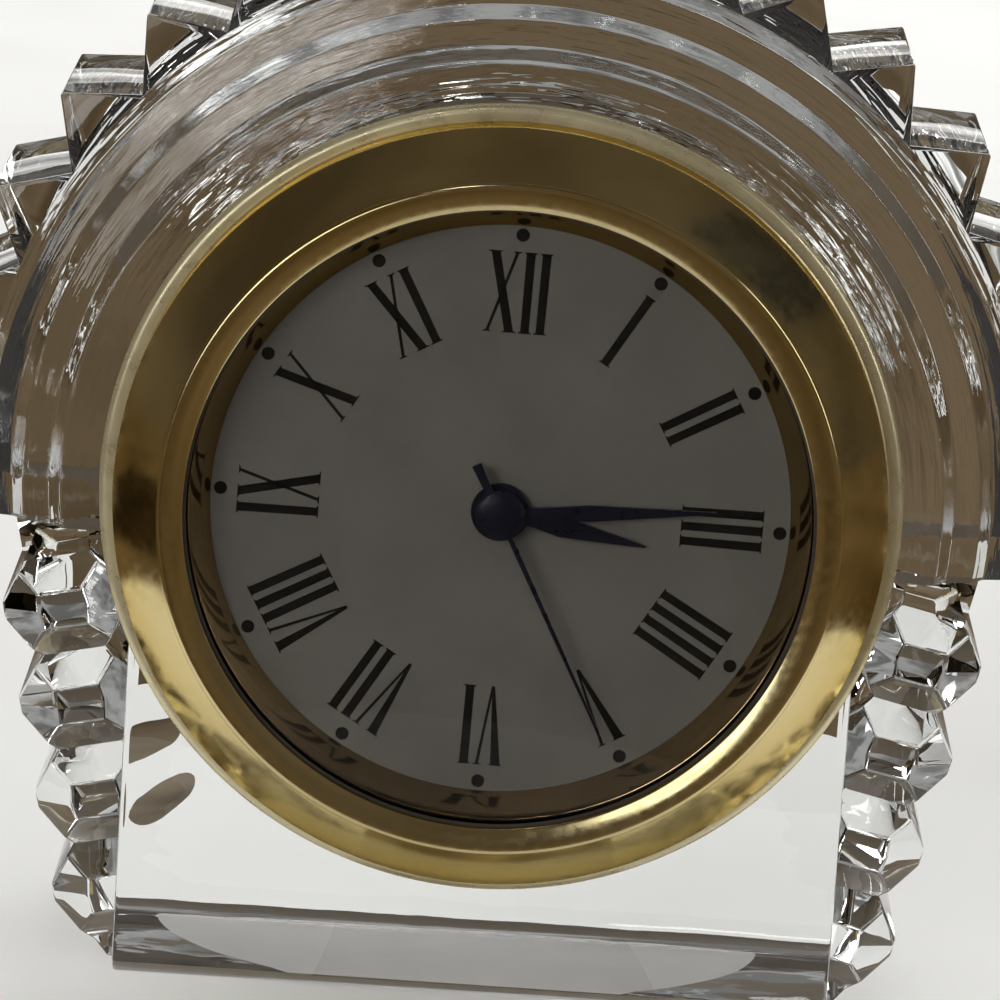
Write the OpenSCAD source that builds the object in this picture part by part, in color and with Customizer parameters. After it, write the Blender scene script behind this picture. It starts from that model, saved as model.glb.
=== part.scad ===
// Crystal desk clock with a press-in quartz insert.
// The clock stands on z = 0 and its dial faces -Y. Sizes are in millimetres.
// Most modules are drawn in the clock's own facing frame: x to the right, y up,
// z towards the viewer, with the origin on the dial axis at the crystal's front land.

/* [Crystal] */
// Height of the dial axis above the table
axis_h = 32.5; // [32:0.5:38]
// Depth of the crystal from its front land to its back
crystal_depth = 28; // [26:0.5:36]
// Diameter of the bore that holds the insert
bore_d = 45; // [44.6:0.1:46]
// Width of the flat land between the bore and the first step
land_w = 5.0; // [4:0.1:6]
// Pitch of the arch steps, measured outwards
step_w = 2.45; // [2.2:0.05:2.6]
// How far each arch step falls back
step_drop = 1.5; // [1.3:0.1:1.8]
// Width of the bevel along each step
bevel_w = 0.8; // [0.4:0.1:1.2]
// Depth of the bevel along each step
bevel_drop = 1.1; // [0.6:0.1:1.2]
// How far below the axis the arch rings end
rings_end = 3.7; // [2:0.1:5]
// How far the arch teeth stand beyond the last step
tooth_reach = 4.6; // [4.2:0.1:6]
// Depth of the V cuts between the arch teeth
tooth_cut = 3.7; // [3:0.1:3.9]
// Angle from one arch tooth to the next
tooth_pitch = 11.5; // [11:0.1:12]
// Number of whole teeth on the arch
arch_teeth = 16; // [14:2:16]
// Thickness of the toothed border, front to back
border_depth = 16; // [14:0.5:20]
// Width of the flat on the crystal's back round the bore
back_land_w = 6.5; // [5:0.5:8]

/* [Columns] */
// Number of cut beads on each side column
beads = 4; // [4:1:4]
// Height of one bead along its column
bead_h = 6.25; // [6:0.05:6.4]
// Width of a column over its beads
column_w = 8; // [7:0.1:9]
// Angle by which each column leans outwards
column_lean = 12.4; // [10:0.1:14]
// How far a column's middle line lies inside the block's edge at the table
column_in = 0.7; // [0.2:0.1:1.5]
// Depth of the V cuts between beads, at the sides
bead_cut = 1.9; // [1.2:0.1:2.4]
// Depth of the V cuts between beads, at the front and back
bead_front_cut = 1.8; // [1.2:0.1:2.4]
// Width of the flat facet on a bead's front
facet_w = 3.2; // [2:0.1:4]
// Height of the flat facet on a bead's front
facet_h = 2.4; // [1.6:0.1:3]
// Depth of the slanted facets beside the flat one
facet_slant = 2.2; // [1:0.1:3]
// How far the beads' front lies behind the front land
column_inset = 2.4; // [2:0.1:4]
// Height of the slanted foot under the lowest bead
foot_h = 1.65; // [1:0.05:2]
// How far a column's foot slants inwards
foot_cut = 2.0; // [1:0.1:2.1]

/* [Block] */
// How far the block reaches beyond the bore on each side
block_over = 0.2; // [0.1:0.1:1.5]
// How far the block's back lies in front of the crystal's back
block_set_in = 3; // [2:0.1:4]
// How far the web between block and columns lies behind the front land
web_inset = 5.4; // [5:0.1:8]
// Size of the bevel along the block's bottom edges
foot_bevel = 0.9; // [0.4:0.1:1.5]

/* [Bezel and lens] */
// How far the bezel reaches beyond the bore
bezel_over = 2.5; // [2:0.1:3]
// Height of the bezel's crest above the crystal
bezel_h = 6.9; // [6.5:0.1:8]
// Width of the rolled rim beyond the bezel's dome
rim_w = 1; // [0.4:0.05:1.2]
// Thickness of the rolled rim
rim_t = 1.2; // [0.8:0.1:1.6]
// How far the bezel's lip reaches over the lens
lip_cover = 1.3; // [0.8:0.05:1.5]
// Width of the bezel's lip from its edge out to the crest
crest_w = 1.4; // [1.2:0.1:1.8]
// Fall of the bezel's lip from its crest to the lens gasket
lip_drop = 0.7; // [0.5:0.05:1]
// Thickness of the lens gasket
gasket_t = 0.2; // [0.1:0.05:0.3]
// How far the gasket shows inside the lip
gasket_show = 0.18; // [0.05:0.01:0.3]
// Thickness of the lens
lens_t = 0.8; // [0.6:0.1:1]
// Room for the hands between dial and lens
hand_room = 2.2; // [2.1:0.1:3]
// How far the reflector's mouth lies inside the bezel's lip
reflector_lip = 0.3; // [0.2:0.05:0.5]
// How far the reflector slopes in towards the dial
reflector_w = 1.3; // [1:0.1:1.6]
// Thickness of the dial
dial_t = 0.5; // [0.4:0.1:0.8]

/* [Hands] */
// Length of the hour hand from the axis
hour_len = 9.2; // [8:0.1:10]
// Length of the minute hand from the axis
minute_len = 13.3; // [12:0.1:15]
// Length of the second hand from the axis
second_len = 15.3; // [14:0.1:17]
// Length of the second hand's tail
tail_len = 3.5; // [2:0.1:5]
// Greatest width of the hour hand
hour_w = 1.3; // [1:0.1:2]
// Greatest width of the minute hand
minute_w = 1.0; // [0.8:0.1:1.6]
// Width of the second hand
second_w = 0.35; // [0.25:0.05:0.6]
// Diameter of the round hub of the second hand
hub_d = 3.1; // [2.6:0.1:3.6]
// Thickness of each hand
hand_t = 0.2; // [0.15:0.05:0.25]
// Clear height between one hand and the next
hand_gap = 0.3; // [0.2:0.05:0.35]
// Dial angle that the hour hand points to at rest, clockwise from twelve
hour_angle = 100; // [0:1:359]
// Dial angle that the minute hand points to at rest
minute_angle = 86; // [0:1:359]
// Dial angle that the second hand points to at rest
second_angle = 152.5; // [0:1:359]

/* [Case] */
// Room for the grip ring between the case cup and the bore
grip_room = 1.5; // [1.2:0.1:1.8]
// Wall of the case cup
case_wall = 0.5; // [0.4:0.05:0.6]
// Length of the grip ring along the cup
grip_len = 11; // [8:0.5:12]
// Wall of the grip ring's sleeve
grip_wall = 0.5; // [0.4:0.05:0.7]
// Number of soft ribs round the grip ring
grip_ribs = 30; // [20:2:40]
// Width of each soft rib
grip_rib_w = 0.9; // [0.6:0.1:1.4]
// Radial wall of the plastic movement holder
holder_wall = 1.2; // [1:0.1:1.4]
// Thickness of the flange on the back cover
cover_flange_t = 0.8; // [0.6:0.1:1.2]
// Thickness of the back cover's plug inside the cup
cover_plug_t = 1.1; // [0.9:0.1:1.6]
// Radius of the setting knob
knob_r = 3.2; // [2.6:0.1:3.8]
// Length of the setting knob
knob_len = 2.6; // [2:0.1:3.5]
// Number of flutes round the setting knob
knob_flutes = 18; // [12:1:24]
// How far the battery hatch reaches beyond the cell
hatch_over = 1; // [0.7:0.1:1.2]

/* [Movement] */
// Room between the dial and the main plate
motion_room = 3.5; // [3.4:0.1:4]
// Thickness of the main plate
plate_t = 1.2; // [1:0.1:1.6]
// Room between the main plate and the train bridge
train_room = 5.0; // [5:0.1:5.6]
// Thickness of the train bridge
bridge_t = 0.8; // [0.8:0.1:1.2]
// Room behind the bridge for the cell and circuit
cell_room = 6.9; // [6.6:0.1:7.5]
// Diameter of the button cell
cell_d = 11.6; // [11.4:0.1:11.8]
// Height of the button cell
cell_h = 5.4; // [5:0.1:5.5]
// Module of the seconds pinion and third wheel
m_third = 0.18; // [0.17:0.005:0.185]
// Module of the minute pinion and hour wheel
m_hour = 0.2; // [0.19:0.005:0.21]
// Module of the fifth pinion and seconds wheel
m_seconds = 0.175; // [0.172:0.001:0.18]
// Module of the rotor pinion and fifth wheel
m_rotor = 0.13; // [0.12:0.005:0.135]
// Thickness of each wheel
wheel_t = 0.4; // [0.3:0.05:0.45]
// Radius of the arbors
arbor_r = 0.25; // [0.2:0.01:0.28]
// Radius of the seconds arbor
seconds_arbor_r = 0.3; // [0.25:0.01:0.32]
// Outer radius of the cannon pinion's pipe
cannon_r = 0.75; // [0.7:0.01:0.78]
// Outer radius of the hour wheel's pipe
hour_pipe_r = 1.25; // [1.15:0.01:1.35]
// Length of the coil winding
coil_len = 6.6; // [6:0.1:7]
// Radius of the coil winding
coil_r = 1.9; // [1.6:0.1:2]

/* [Fits] */
// Radial clearance of parts that turn
run_gap = 0.04; // [0.02:0.01:0.06]
// Clearance of parts that are seated in each other
seat_gap = 0.05; // [0.02:0.01:0.1]
// Radial clearance of the case cup's flange in the bore
flange_gap = 0.2; // [0.1:0.05:0.5]
// Radial clearance of pieces that are pressed on a shaft
press_gap = 0.01; // [0.01:0.005:0.02]
// Radial clearance of screws in their threaded holes
thread_gap = 0.02; // [0.01:0.01:0.03]
// Radial clearance of screws in the pieces that they clamp
clamp_gap = 0.05; // [0.03:0.01:0.1]
// Clearance round the battery hatch in the cover
hatch_gap = 0.1; // [0.06:0.01:0.14]
// Clearance between the setting knob and the cover
knob_gap = 0.25; // [0.15:0.05:0.4]
// Clearance between the cell and the contacts
contact_gap = 0.06; // [0.04:0.01:0.1]
// Share of the pitch that gear teeth leave free
backlash = 0.16; // [0.12:0.01:0.24]

/* [Hidden] */

$fn = 96;
eps = 0.01;

// The whole clock is centred front to back on y = 0.
front_y = (bezel_h - crystal_depth) / 2;

// Radii of the crystal, from the land out to the teeth.
bore_r = bore_d / 2;
land_r = bore_r + land_w;
tooth_tip_r = land_r + 2 * step_w + tooth_reach;
back_land_r = bore_r + back_land_w;
block_half_w = bore_r + block_over;
column_x = block_half_w - column_in;

// Levels along the axis, from the bezel's crest back to the cover.
gasket_top = bezel_h - lip_drop;
lens_top = gasket_top - gasket_t;
lens_back = lens_top - lens_t;
dial_top = lens_back - hand_room;
dial_back = dial_top - dial_t;
plate_front = dial_back - motion_room;
plate_back = plate_front - plate_t;
bridge_front = plate_back - train_room;
bridge_back = bridge_front - bridge_t;
cover_front = bridge_back - cell_room;
cup_end = cover_front - cover_plug_t;
cover_back = cup_end - cover_flange_t;

// Radii that fit inside each other, from the bore inwards.
flange_r = bore_r - flange_gap;
case_r = bore_r - grip_room;
cup_inner_r = case_r - case_wall;
seat_r = cup_inner_r + case_wall / 2;
holder_r = cup_inner_r - seat_gap;
holder_inner_r = holder_r - holder_wall;
shelf_r = holder_inner_r - 1.75;
plate_r = holder_inner_r - seat_gap;
bridge_r = shelf_r - 0.2;

// Radii of the bezel and of what shows inside its lip.
bezel_r = bore_r + bezel_over;
lip_r = seat_r - lip_cover;
crest_r = lip_r + crest_w;
reflector_r = lip_r - reflector_lip;
window_r = reflector_r - reflector_w;

// Levels of the hands.
hand_clear = 0.35;
hour_z = dial_top + hand_clear;
minute_z = hour_z + hand_t + hand_gap;
second_z = minute_z + hand_t + hand_gap;

// Tooth counts of the going train and the motion work.
rotor_n = 12;
fifth_n = 60;
fifth_pinion_n = 10;
seconds_n = 60;
seconds_pinion_n = 8;
third_n = 60;
third_pinion_n = 8;
centre_n = 64;
cannon_n = 12;
minute_n = 36;
minute_pinion_n = 10;
hour_n = 40;
stem_n = 12;

// Centre distances. Two pairs share one distance each, which sets their second module.
third_dist = m_third * (seconds_pinion_n + third_n) / 2;
m_centre = 2 * third_dist / (third_pinion_n + centre_n);
minute_dist = m_hour * (minute_pinion_n + hour_n) / 2;
m_cannon = 2 * minute_dist / (cannon_n + minute_n);
fifth_dist = m_seconds * (fifth_pinion_n + seconds_n) / 2;
rotor_dist = m_rotor * (rotor_n + fifth_n) / 2;
stem_dist = m_cannon * (minute_n + stem_n) / 2;

// Directions from one arbor to the next, in degrees from the x axis.
third_dir = 200;
fifth_dir = 60;
rotor_dir = 0;
minute_dir = -90;
stem_dir = -60;

function toward(d, a) = [d * cos(a), d * sin(a)];
third_at = toward(third_dist, third_dir);
fifth_at = toward(fifth_dist, fifth_dir);
rotor_at = fifth_at + toward(rotor_dist, rotor_dir);
minute_at = toward(minute_dist, minute_dir);
stem_at = minute_at + toward(stem_dist, stem_dir);

// Levels of the wheels, in front of and behind the main plate.
cannon_z = plate_front + 0.3;
minute_wheel_z = cannon_z + 0.1;
hour_wheel_z = minute_wheel_z + wheel_t + 0.6;
centre_z = plate_back - 1.1;
third_z = centre_z - 1.0;
seconds_z = third_z - 1.0;
fifth_z = seconds_z - 0.95;
pinion_len = 0.8;

// The coil lies across the movement above the rotor's stator.
coil_y = 11.8;
coil_x = 0;
core_w = 2.0;
leg_w = 2.4;
bobbin_flange_t = 0.5;
bobbin_wall = 0.35;
core_half = coil_len / 2 + bobbin_flange_t + leg_w / 2 + 1.35;
core_t = 0.6;
stator_t = 0.6;
stator_top = plate_back - 1.7;
core_top = stator_top - stator_t;
coil_z = core_top - core_t / 2;
leg_low = coil_x - core_half;
leg_high = coil_x + core_half;

stator_bar_w = 2.2;
stator_bar_y = rotor_at[1] + stator_bar_w;

// The spring washer on the hour wheel's pipe.
washer_w = 1.85;
washer_t = 0.16;

// The setting stem, the minute wheel's post and the knob's socket.
stem_r = 0.6;
post_r = 0.4;
knob_socket = 1.2;

// The battery hatch's radius and lugs, and the turn from rest to the cover's slots.
hatch_r = cell_d / 2 + hatch_over;
lug_w = 2.8;
lug_t = 0.65;
lug_reach = 0.8;
hatch_turn = -45;

// The cell lies behind the bridge on the side away from the circuit board.
cell_at = [-6.5, 2.0];
cell_top = bridge_back - 0.35;
cell_back = cell_top - cell_h;
board_t = 0.6;
board_back = bridge_back - board_t;
board_x = cell_at[0] + cell_d / 2 + 1.9;
board_w = 10;
board_low = 5.2;
board_high = 10;
can_x = board_x + board_w - 1.4;
can_len = 6;
strip_w = 2;
strip_t = 0.25;

// Screw places on the plate, the bridge and the board.
pillar_r = 1.15;
boss_r = 1.4;
pillar_angles = [20, 160, 215, 325];
pillar_ring = bridge_r - pillar_r - 0.4;
plate_screw_angles = [100, 180, 260, 345];
board_screw_at = [[board_x + 2, 1.6 - board_low], [board_x + 0.68 * board_w, board_high - 2.4]];
screw_r = 0.45;
screw_head_r = 0.9;
screw_head_t = 0.5;
plate_screw_ring = plate_r - screw_head_r - 0.1;

// Places a piece of the facing frame into the standing clock.
module facing() {
    translate([0, front_y, axis_h])
        rotate([90, 0, 0])
            children();
}

// A disc or tube from level z0 up to level z1.
module disc(r, z0, z1) {
    translate([0, 0, z0])
        cylinder(r = r, h = z1 - z0);
}

module tube(r, inner_r, z0, z1) {
    difference() {
        disc(r, z0, z1);
        disc(inner_r, z0 - 1, z1 + 1);
    }
}

// A flat piece of outline children() from level z0 up to level z1.
module slab(z0, z1) {
    translate([0, 0, z0])
        linear_extrude(height = z1 - z0)
            children();
}

// Point on a circle, with the angle measured clockwise from straight up.
function dial_point(r, a) = [r * sin(a), r * cos(a)];

// Gears are involute below and above the pitch line, with a free share between flanks.
pressure = 20;
function involute(a) = tan(a) * 180 / PI - a;
function base_angle(k) = acos(min(1, cos(pressure) / k));
function half_tooth(n, k, slack) =
    90 / n * (1 - slack) + involute(pressure) - involute(base_angle(k));
function flank(n, m, r, slack) =
    max(0.25 * 90 / n, half_tooth(n, 2 * r / (n * m), slack));
addendum = 0.85;
dedendum = 1.2;
function gear_points(n, m, phase, slack) =
    let (rp = n * m / 2, root = rp - dedendum * m, tip = rp + addendum * m,
        low = min(flank(n, m, root, slack), 90 / n * (n < 20 ? 0.9 : 1.45)),
        mid = 90 / n * (1 - slack),
        high = flank(n, m, tip, slack))
    [for (i = [0 : n - 1], p = [[root, -low], [rp, -mid], [tip, -high],
            [tip, high], [rp, mid], [root, low]])
        let (a = phase + i * 360 / n + p[1])
        [p[0] * cos(a), p[0] * sin(a)]];

// Phase of a second gear that meshes with a first one lying in direction dir from it.
function mesh_phase(phase, n1, n2, dir) =
    dir + 180 + 180 / n2 - (phase - dir) * n1 / n2;

module gear(n, m, phase, z0, z1) {
    slab(z0, z1)
        polygon(gear_points(n, m, phase, backlash));
}

// A wheel that is lightened by round windows between its hub and its teeth.
module wheel(n, m, phase, z0, z1, windows) {
    ring_r = n * m * 0.3;
    difference() {
        gear(n, m, phase, z0, z1);
        if (windows > 0)
            for (i = [0 : windows - 1])
                rotate([0, 0, i * 360 / windows + 30])
                    translate([ring_r, 0, z0 - 1])
                        cylinder(r = n * m * 0.11, h = z1 - z0 + 2, $fn = 32);
    }
}

// Crystal: a toothed arch with stepped rings, a block with two cut columns, and the bore.

function step_r(k) = land_r + k * step_w;
function step_z(k) = -k * step_drop;
border_front = step_z(2) - bevel_drop - 0.9;
border_back = border_front - border_depth;
block_back = block_set_in - crystal_depth;
half_arch = arch_teeth * tooth_pitch / 2;

// A column: height of the bead tips' flats, plain neck above the beads, run below the table.
tip_flat = 1.2;
column_top = beads * bead_h + 4;
bead_run = 9;

// Front profile of the rings, as radius and level, out to the given number of steps.
function ring_profile(steps) = concat(
    [[0, 0]],
    [for (k = [0 : steps - 1], p = [[0, 0], [bevel_w, -bevel_drop]])
        [step_r(k) + p[0], step_z(k) + p[1]]]);

module arch_rings() {
    outer = step_r(2) + bevel_w;
    intersection() {
        rotate_extrude($fn = 180)
            polygon(concat(ring_profile(3), [[outer, border_back],
                [back_land_r, -crystal_depth], [0, -crystal_depth]]));
        translate([-tooth_tip_r, -rings_end, -crystal_depth - 1])
            cube([2 * tooth_tip_r, 2 * tooth_tip_r, crystal_depth + 2]);
    }
}

// Outline of the toothed arch: valleys and tips in turn, from one end to the other.
arch_outline = [for (i = [-1 : 2 * arch_teeth + 1])
    let (a = -half_arch + i * tooth_pitch / 2, r = tooth_tip_r - (i % 2 == 0 ? tooth_cut : 0))
    dial_point(r, a)];

module toothed_border() {
    slab(border_back, border_front)
        polygon(arch_outline);
}

// Square block under the arch, drawn from its side view and bevelled along the table.
module block() {
    foot = -axis_h;
    rotate([0, 90, 0])
        linear_extrude(height = 2 * block_half_w, center = true)
            polygon([[0, 0], [0, foot + foot_bevel], [foot_bevel, foot],
                [-block_back - foot_bevel, foot], [-block_back, foot + foot_bevel],
                [-block_back, 0]]);
}

// Web that joins the block to the middle line of each leaning column.
module web() {
    lean = axis_h * tan(column_lean);
    slab(border_back, -web_inset)
        polygon([[-column_x, -axis_h], [-column_x - lean, 0], [column_x + lean, 0],
            [column_x, -axis_h]]);
}

// Half outline of a stack of beads on its foot: half width at the tips, depth of the
// cuts, height of the flat tips and how far the foot slants inwards.
function bead_side(half, cut, flat, foot) = concat(
    [[half - cut - foot, -bead_run], [half - cut - foot, -foot_h], [half - cut, 0]],
    [for (k = [0 : beads - 1], p = [[0, -flat / 2], [0, flat / 2], [-cut, bead_h / 2]])
        [half + p[0], (k + 0.5) * bead_h + p[1]]],
    [[half - cut, column_top]]);
function mirrored(points) = [for (i = [len(points) - 1 : -1 : 0]) [-points[i][0], points[i][1]]];

// One column in its own frame: y along the column, with the first bead starting at y = 0.
module column() {
    front = -column_inset;
    back = block_back + 1;
    middle = (front + back) / 2;
    half_depth = (front - back) / 2;
    side = bead_side(column_w / 2, bead_cut, tip_flat, foot_cut);
    depth = bead_side(half_depth, bead_front_cut, facet_h, 0);
    plan = [[facet_w / 2, half_depth], [column_w / 2, half_depth - facet_slant],
        [column_w / 2, facet_slant - half_depth], [facet_w / 2, -half_depth],
        [-facet_w / 2, -half_depth], [-column_w / 2, facet_slant - half_depth],
        [-column_w / 2, half_depth - facet_slant], [-facet_w / 2, half_depth]];
    translate([0, 0, middle])
        intersection() {
            translate([0, 0, -half_depth])
                linear_extrude(height = 2 * half_depth)
                    polygon(concat(side, mirrored(side)));
            rotate([0, 90, 0])
                linear_extrude(height = column_w + 2, center = true)
                    polygon(concat(depth, mirrored(depth)));
            translate([0, column_top, 0])
                rotate([90, 0, 0])
                    linear_extrude(height = column_top + bead_run)
                        polygon(plan);
        }
}

module side_columns() {
    for (side = [0, 1])
        mirror([side, 0, 0])
            translate([column_x, -axis_h, 0])
                rotate([0, 0, -column_lean])
                    translate([0, foot_h, 0])
                        column();
}

module crystal_body() {
    color([0.86, 0.9, 0.9, 0.6])
        facing()
            difference() {
                union() {
                    toothed_border();
                    arch_rings();
                    block();
                    web();
                    side_columns();
                }
                disc(bore_r, -crystal_depth - 1, 1);
                translate([-tooth_tip_r, -axis_h - 2 * bead_run, -2 * crystal_depth])
                    cube([2 * tooth_tip_r, 2 * bead_run, 4 * crystal_depth]);
            }
}

// Bezel: rolled rim, short wall, flat slope, rounded crest and a ledge down to the lens.

dome_r = bezel_r - rim_w;
wall_h = 3.3;
crest_round = 0.55;
ledge_w = 0.8;
crest_points = [for (a = [0 : 22.5 : 90])
    [crest_r + crest_round * cos(a), bezel_h - crest_round * (1 - sin(a))]];

module bezel() {
    rim_r = bezel_r;
    color([0.83, 0.66, 0.32])
        facing()
            rotate_extrude($fn = 144)
                polygon(concat([[seat_r, 0], [rim_r - 0.3, 0], [rim_r, 0.35],
                    [rim_r, rim_t - 0.35], [rim_r - 0.3, rim_t], [dome_r + 0.05, rim_t],
                    [dome_r, wall_h]],
                    crest_points,
                    [[crest_r - 0.25, bezel_h - 0.06], [lip_r + ledge_w, gasket_top + 0.2],
                    [lip_r, gasket_top + 0.12], [lip_r, gasket_top], [seat_r, gasket_top]]));
}

module lens_gasket() {
    color([0.1, 0.09, 0.08])
        facing()
            tube(seat_r - seat_gap, lip_r - gasket_show, lens_top, gasket_top);
}

module lens() {
    color([0.9, 0.93, 0.95, 0.3])
        facing()
            disc(seat_r - seat_gap, lens_back, lens_top);
}

module reflector_ring() {
    outer = seat_r - seat_gap;
    color([0.8, 0.6, 0.28])
        facing()
            rotate_extrude($fn = 144)
                polygon([[window_r, dial_top], [outer, dial_top], [outer, lens_back],
                    [reflector_r, lens_back], [window_r, dial_top + 0.1]]);
}

module dial() {
    color([0.82, 0.81, 0.78])
        facing()
            tube(seat_r - seat_gap, hour_pipe_r + 0.35, dial_back, dial_top);
}

// Hands. Each is drawn pointing up and turned clockwise to its place at rest.

module pointing(angle) {
    facing()
        rotate([0, 0, -angle])
            children();
}

// Leaf hand: slim near the hub, widest at a third of its length, pointed at the end.
module leaf_hand(length, width, hole_r, boss_r, z) {
    waist = width * 0.34;
    difference() {
        union() {
            slab(z, z + hand_t)
                polygon([[-waist, 0], [-waist, boss_r + 0.4], [-width / 2, length * 0.42],
                    [-0.06, length], [0.06, length], [width / 2, length * 0.42],
                    [waist, boss_r + 0.4], [waist, 0]]);
            disc(boss_r, z, z + hand_t);
        }
        disc(hole_r, z - 1, z + 1);
    }
}

module hour_hand() {
    color([0.06, 0.07, 0.14])
        pointing(hour_angle)
            leaf_hand(hour_len, hour_w, hour_pipe_r + press_gap, hour_pipe_r + 0.6, hour_z);
}

module minute_hand() {
    color([0.06, 0.07, 0.14])
        pointing(minute_angle)
            leaf_hand(minute_len, minute_w, cannon_r + press_gap, cannon_r + 0.6, minute_z);
}

module second_hand() {
    color([0.06, 0.07, 0.14])
        pointing(second_angle)
            difference() {
                union() {
                    slab(second_z, second_z + hand_t)
                        polygon([[-second_w / 2, 0], [-0.08, second_len], [0.08, second_len],
                            [second_w / 2, 0], [second_w * 0.9, -tail_len],
                            [-second_w * 0.9, -tail_len]]);
                    disc(hub_d / 2, second_z, second_z + hand_t);
                    disc(hub_d / 2 - 0.3, second_z, second_z + hand_t + 0.2);
                }
                disc(seconds_arbor_r + press_gap, second_z - 1, second_z + hand_t);
            }
}

// Case: cup, grip ring, plastic holder and back cover.

module case_cup() {
    color([0.72, 0.55, 0.26])
        facing() {
            difference() {
                union() {
                    disc(case_r, cup_end, 0);
                    disc(flange_r, -0.4, 0);
                }
                disc(cup_inner_r, cup_end - 1, 1);
            }
        }
}

// Soft ring with ribs that press on the bore's wall.
module grip_ring() {
    sleeve_in = case_r + press_gap;
    sleeve_out = sleeve_in + grip_wall;
    top = -1.2;
    color([0.16, 0.14, 0.12])
        facing() {
            difference() {
                union() {
                    disc(sleeve_out, top - grip_len, top);
                    intersection() {
                        for (i = [0 : grip_ribs - 1])
                            rotate([0, 0, i * 360 / grip_ribs])
                                translate([sleeve_in + 0.2, -grip_rib_w / 2, top - grip_len])
                                    cube([4, grip_rib_w, grip_len]);
                        disc(bore_r - run_gap, top - grip_len, top);
                    }
                }
                disc(sleeve_in, top - grip_len - 1, top + 1);
            }
        }
}

module movement_holder() {
    color([0.88, 0.88, 0.84])
        facing()
            difference() {
                disc(holder_r, cover_front, dial_back);
                disc(holder_inner_r, plate_back, dial_back + 1);
                disc(shelf_r, plate_back - 1.5, plate_back + 1);
                disc(holder_inner_r, cover_front - 1, plate_back - 1.2);
                for (a = plate_screw_angles)
                    rotate([0, 0, a])
                        translate([plate_screw_ring, 0, plate_back - 1])
                            cylinder(r = screw_r + thread_gap, h = 1.5, $fn = 32);
            }
}

module back_cover() {
    color([0.11, 0.11, 0.12])
        facing()
            difference() {
                union() {
                    disc(holder_r, cup_end, cover_front);
                    disc(case_r, cover_back, cup_end);
                }
                translate(cell_at)
                    disc(hatch_r + hatch_gap, cover_back - 1, cover_front + 1);
                translate(cell_at)
                    rotate([0, 0, hatch_turn])
                        hatch_lugs(hatch_r + lug_reach + hatch_gap, cover_back - 1, cover_front + 1,
                            hatch_gap);
                translate(stem_at)
                    disc(stem_r + 0.15, cover_back - 1, cover_front + 1);
            }
}

// Two lugs hold the battery hatch in front of the cover. They pass its slots at hatch_turn.
module hatch_lugs(r, z0, z1, spare) {
    intersection() {
        disc(r, z0, z1);
        translate([-r - 1, -lug_w / 2 - spare, z0])
            cube([2 * r + 2, lug_w + 2 * spare, z1 - z0]);
    }
}

module battery_hatch() {
    inner = cover_front + hatch_gap + lug_t;
    color([0.14, 0.14, 0.15])
        facing()
            translate(cell_at)
                difference() {
                    union() {
                        disc(hatch_r, cover_back, inner);
                        hatch_lugs(hatch_r + lug_reach, cover_front + hatch_gap, inner, 0);
                    }
                    disc(cell_d / 2 + 0.3 * hatch_over, cup_end, inner + 1);
                    translate([-4, -0.6, cover_back - 1])
                        cube([8, 1.2, 1.5]);
                }
}

module setting_knob() {
    top = cover_back - knob_gap;
    color([0.18, 0.18, 0.19])
        facing()
            translate(stem_at)
                difference() {
                    disc(knob_r, top - knob_len, top);
                    for (i = [0 : knob_flutes - 1])
                        rotate([0, 0, i * 360 / knob_flutes])
                            translate([knob_r + 0.15, 0, top - knob_len - 1])
                                cylinder(r = 0.4, h = knob_len + 2, $fn = 24);
                    disc(stem_r + press_gap, top - knob_socket, top + 1);
                }
}

// The stem carries the setting pinion in front and the knob behind.
module setting_stem() {
    low = cover_back - knob_gap - knob_socket;
    phase = mesh_phase(minute_phase, minute_n, stem_n, stem_dir);
    color([0.6, 0.6, 0.58])
        facing()
            translate(stem_at) {
                gear(stem_n, m_cannon, phase, minute_wheel_z, minute_wheel_z + pinion_len);
                disc(stem_r, low, minute_wheel_z + pinion_len);
                disc(stem_r + 0.5, bridge_front + 0.1, bridge_front + 0.6);
            }
}

// Motion work between dial and main plate.

minute_phase = mesh_phase(minute_dir, cannon_n, minute_n, minute_dir);

module cannon_pinion() {
    color([0.75, 0.62, 0.3])
        facing()
            difference() {
                union() {
                    gear(cannon_n, m_cannon, minute_dir, cannon_z, cannon_z + 0.7);
                    disc(cannon_r, centre_z - 0.3, minute_z + hand_t + 0.05);
                }
                disc(seconds_arbor_r + run_gap, centre_z - 1, minute_z + 2);
            }
}

module minute_wheel() {
    top = hour_wheel_z + wheel_t + 0.15;
    hour_side = minute_dir + 180;
    color([0.85, 0.84, 0.78])
        facing()
            translate(minute_at)
                difference() {
                    union() {
                        wheel(minute_n, m_cannon, minute_phase, minute_wheel_z,
                            minute_wheel_z + wheel_t, 4);
                        gear(minute_pinion_n, m_hour, hour_side, minute_wheel_z, top);
                    }
                    disc(post_r + run_gap, minute_wheel_z - 1, top + 1);
                }
}

module hour_wheel() {
    phase = mesh_phase(minute_dir + 180, minute_pinion_n, hour_n, minute_dir + 180);
    color([0.85, 0.84, 0.78])
        facing()
            difference() {
                union() {
                    gear(hour_n, m_hour, phase, hour_wheel_z, hour_wheel_z + wheel_t);
                    disc(hour_pipe_r, hour_wheel_z, hour_z + hand_t + 0.05);
                }
                disc(cannon_r + run_gap, hour_wheel_z - 1, hour_z + 1);
            }
}

module hour_wheel_washer() {
    low = hour_wheel_z + wheel_t + 0.1;
    high = dial_back - 0.1;
    inner = hour_pipe_r + 0.1;
    color([0.8, 0.66, 0.34])
        facing()
            rotate_extrude($fn = 72)
                polygon([[inner, low], [inner + washer_w / 2, high - washer_t],
                    [inner + washer_w, high - washer_t], [inner + washer_w, high],
                    [inner + washer_w / 2, high], [inner, low + washer_t]]);
}

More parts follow.
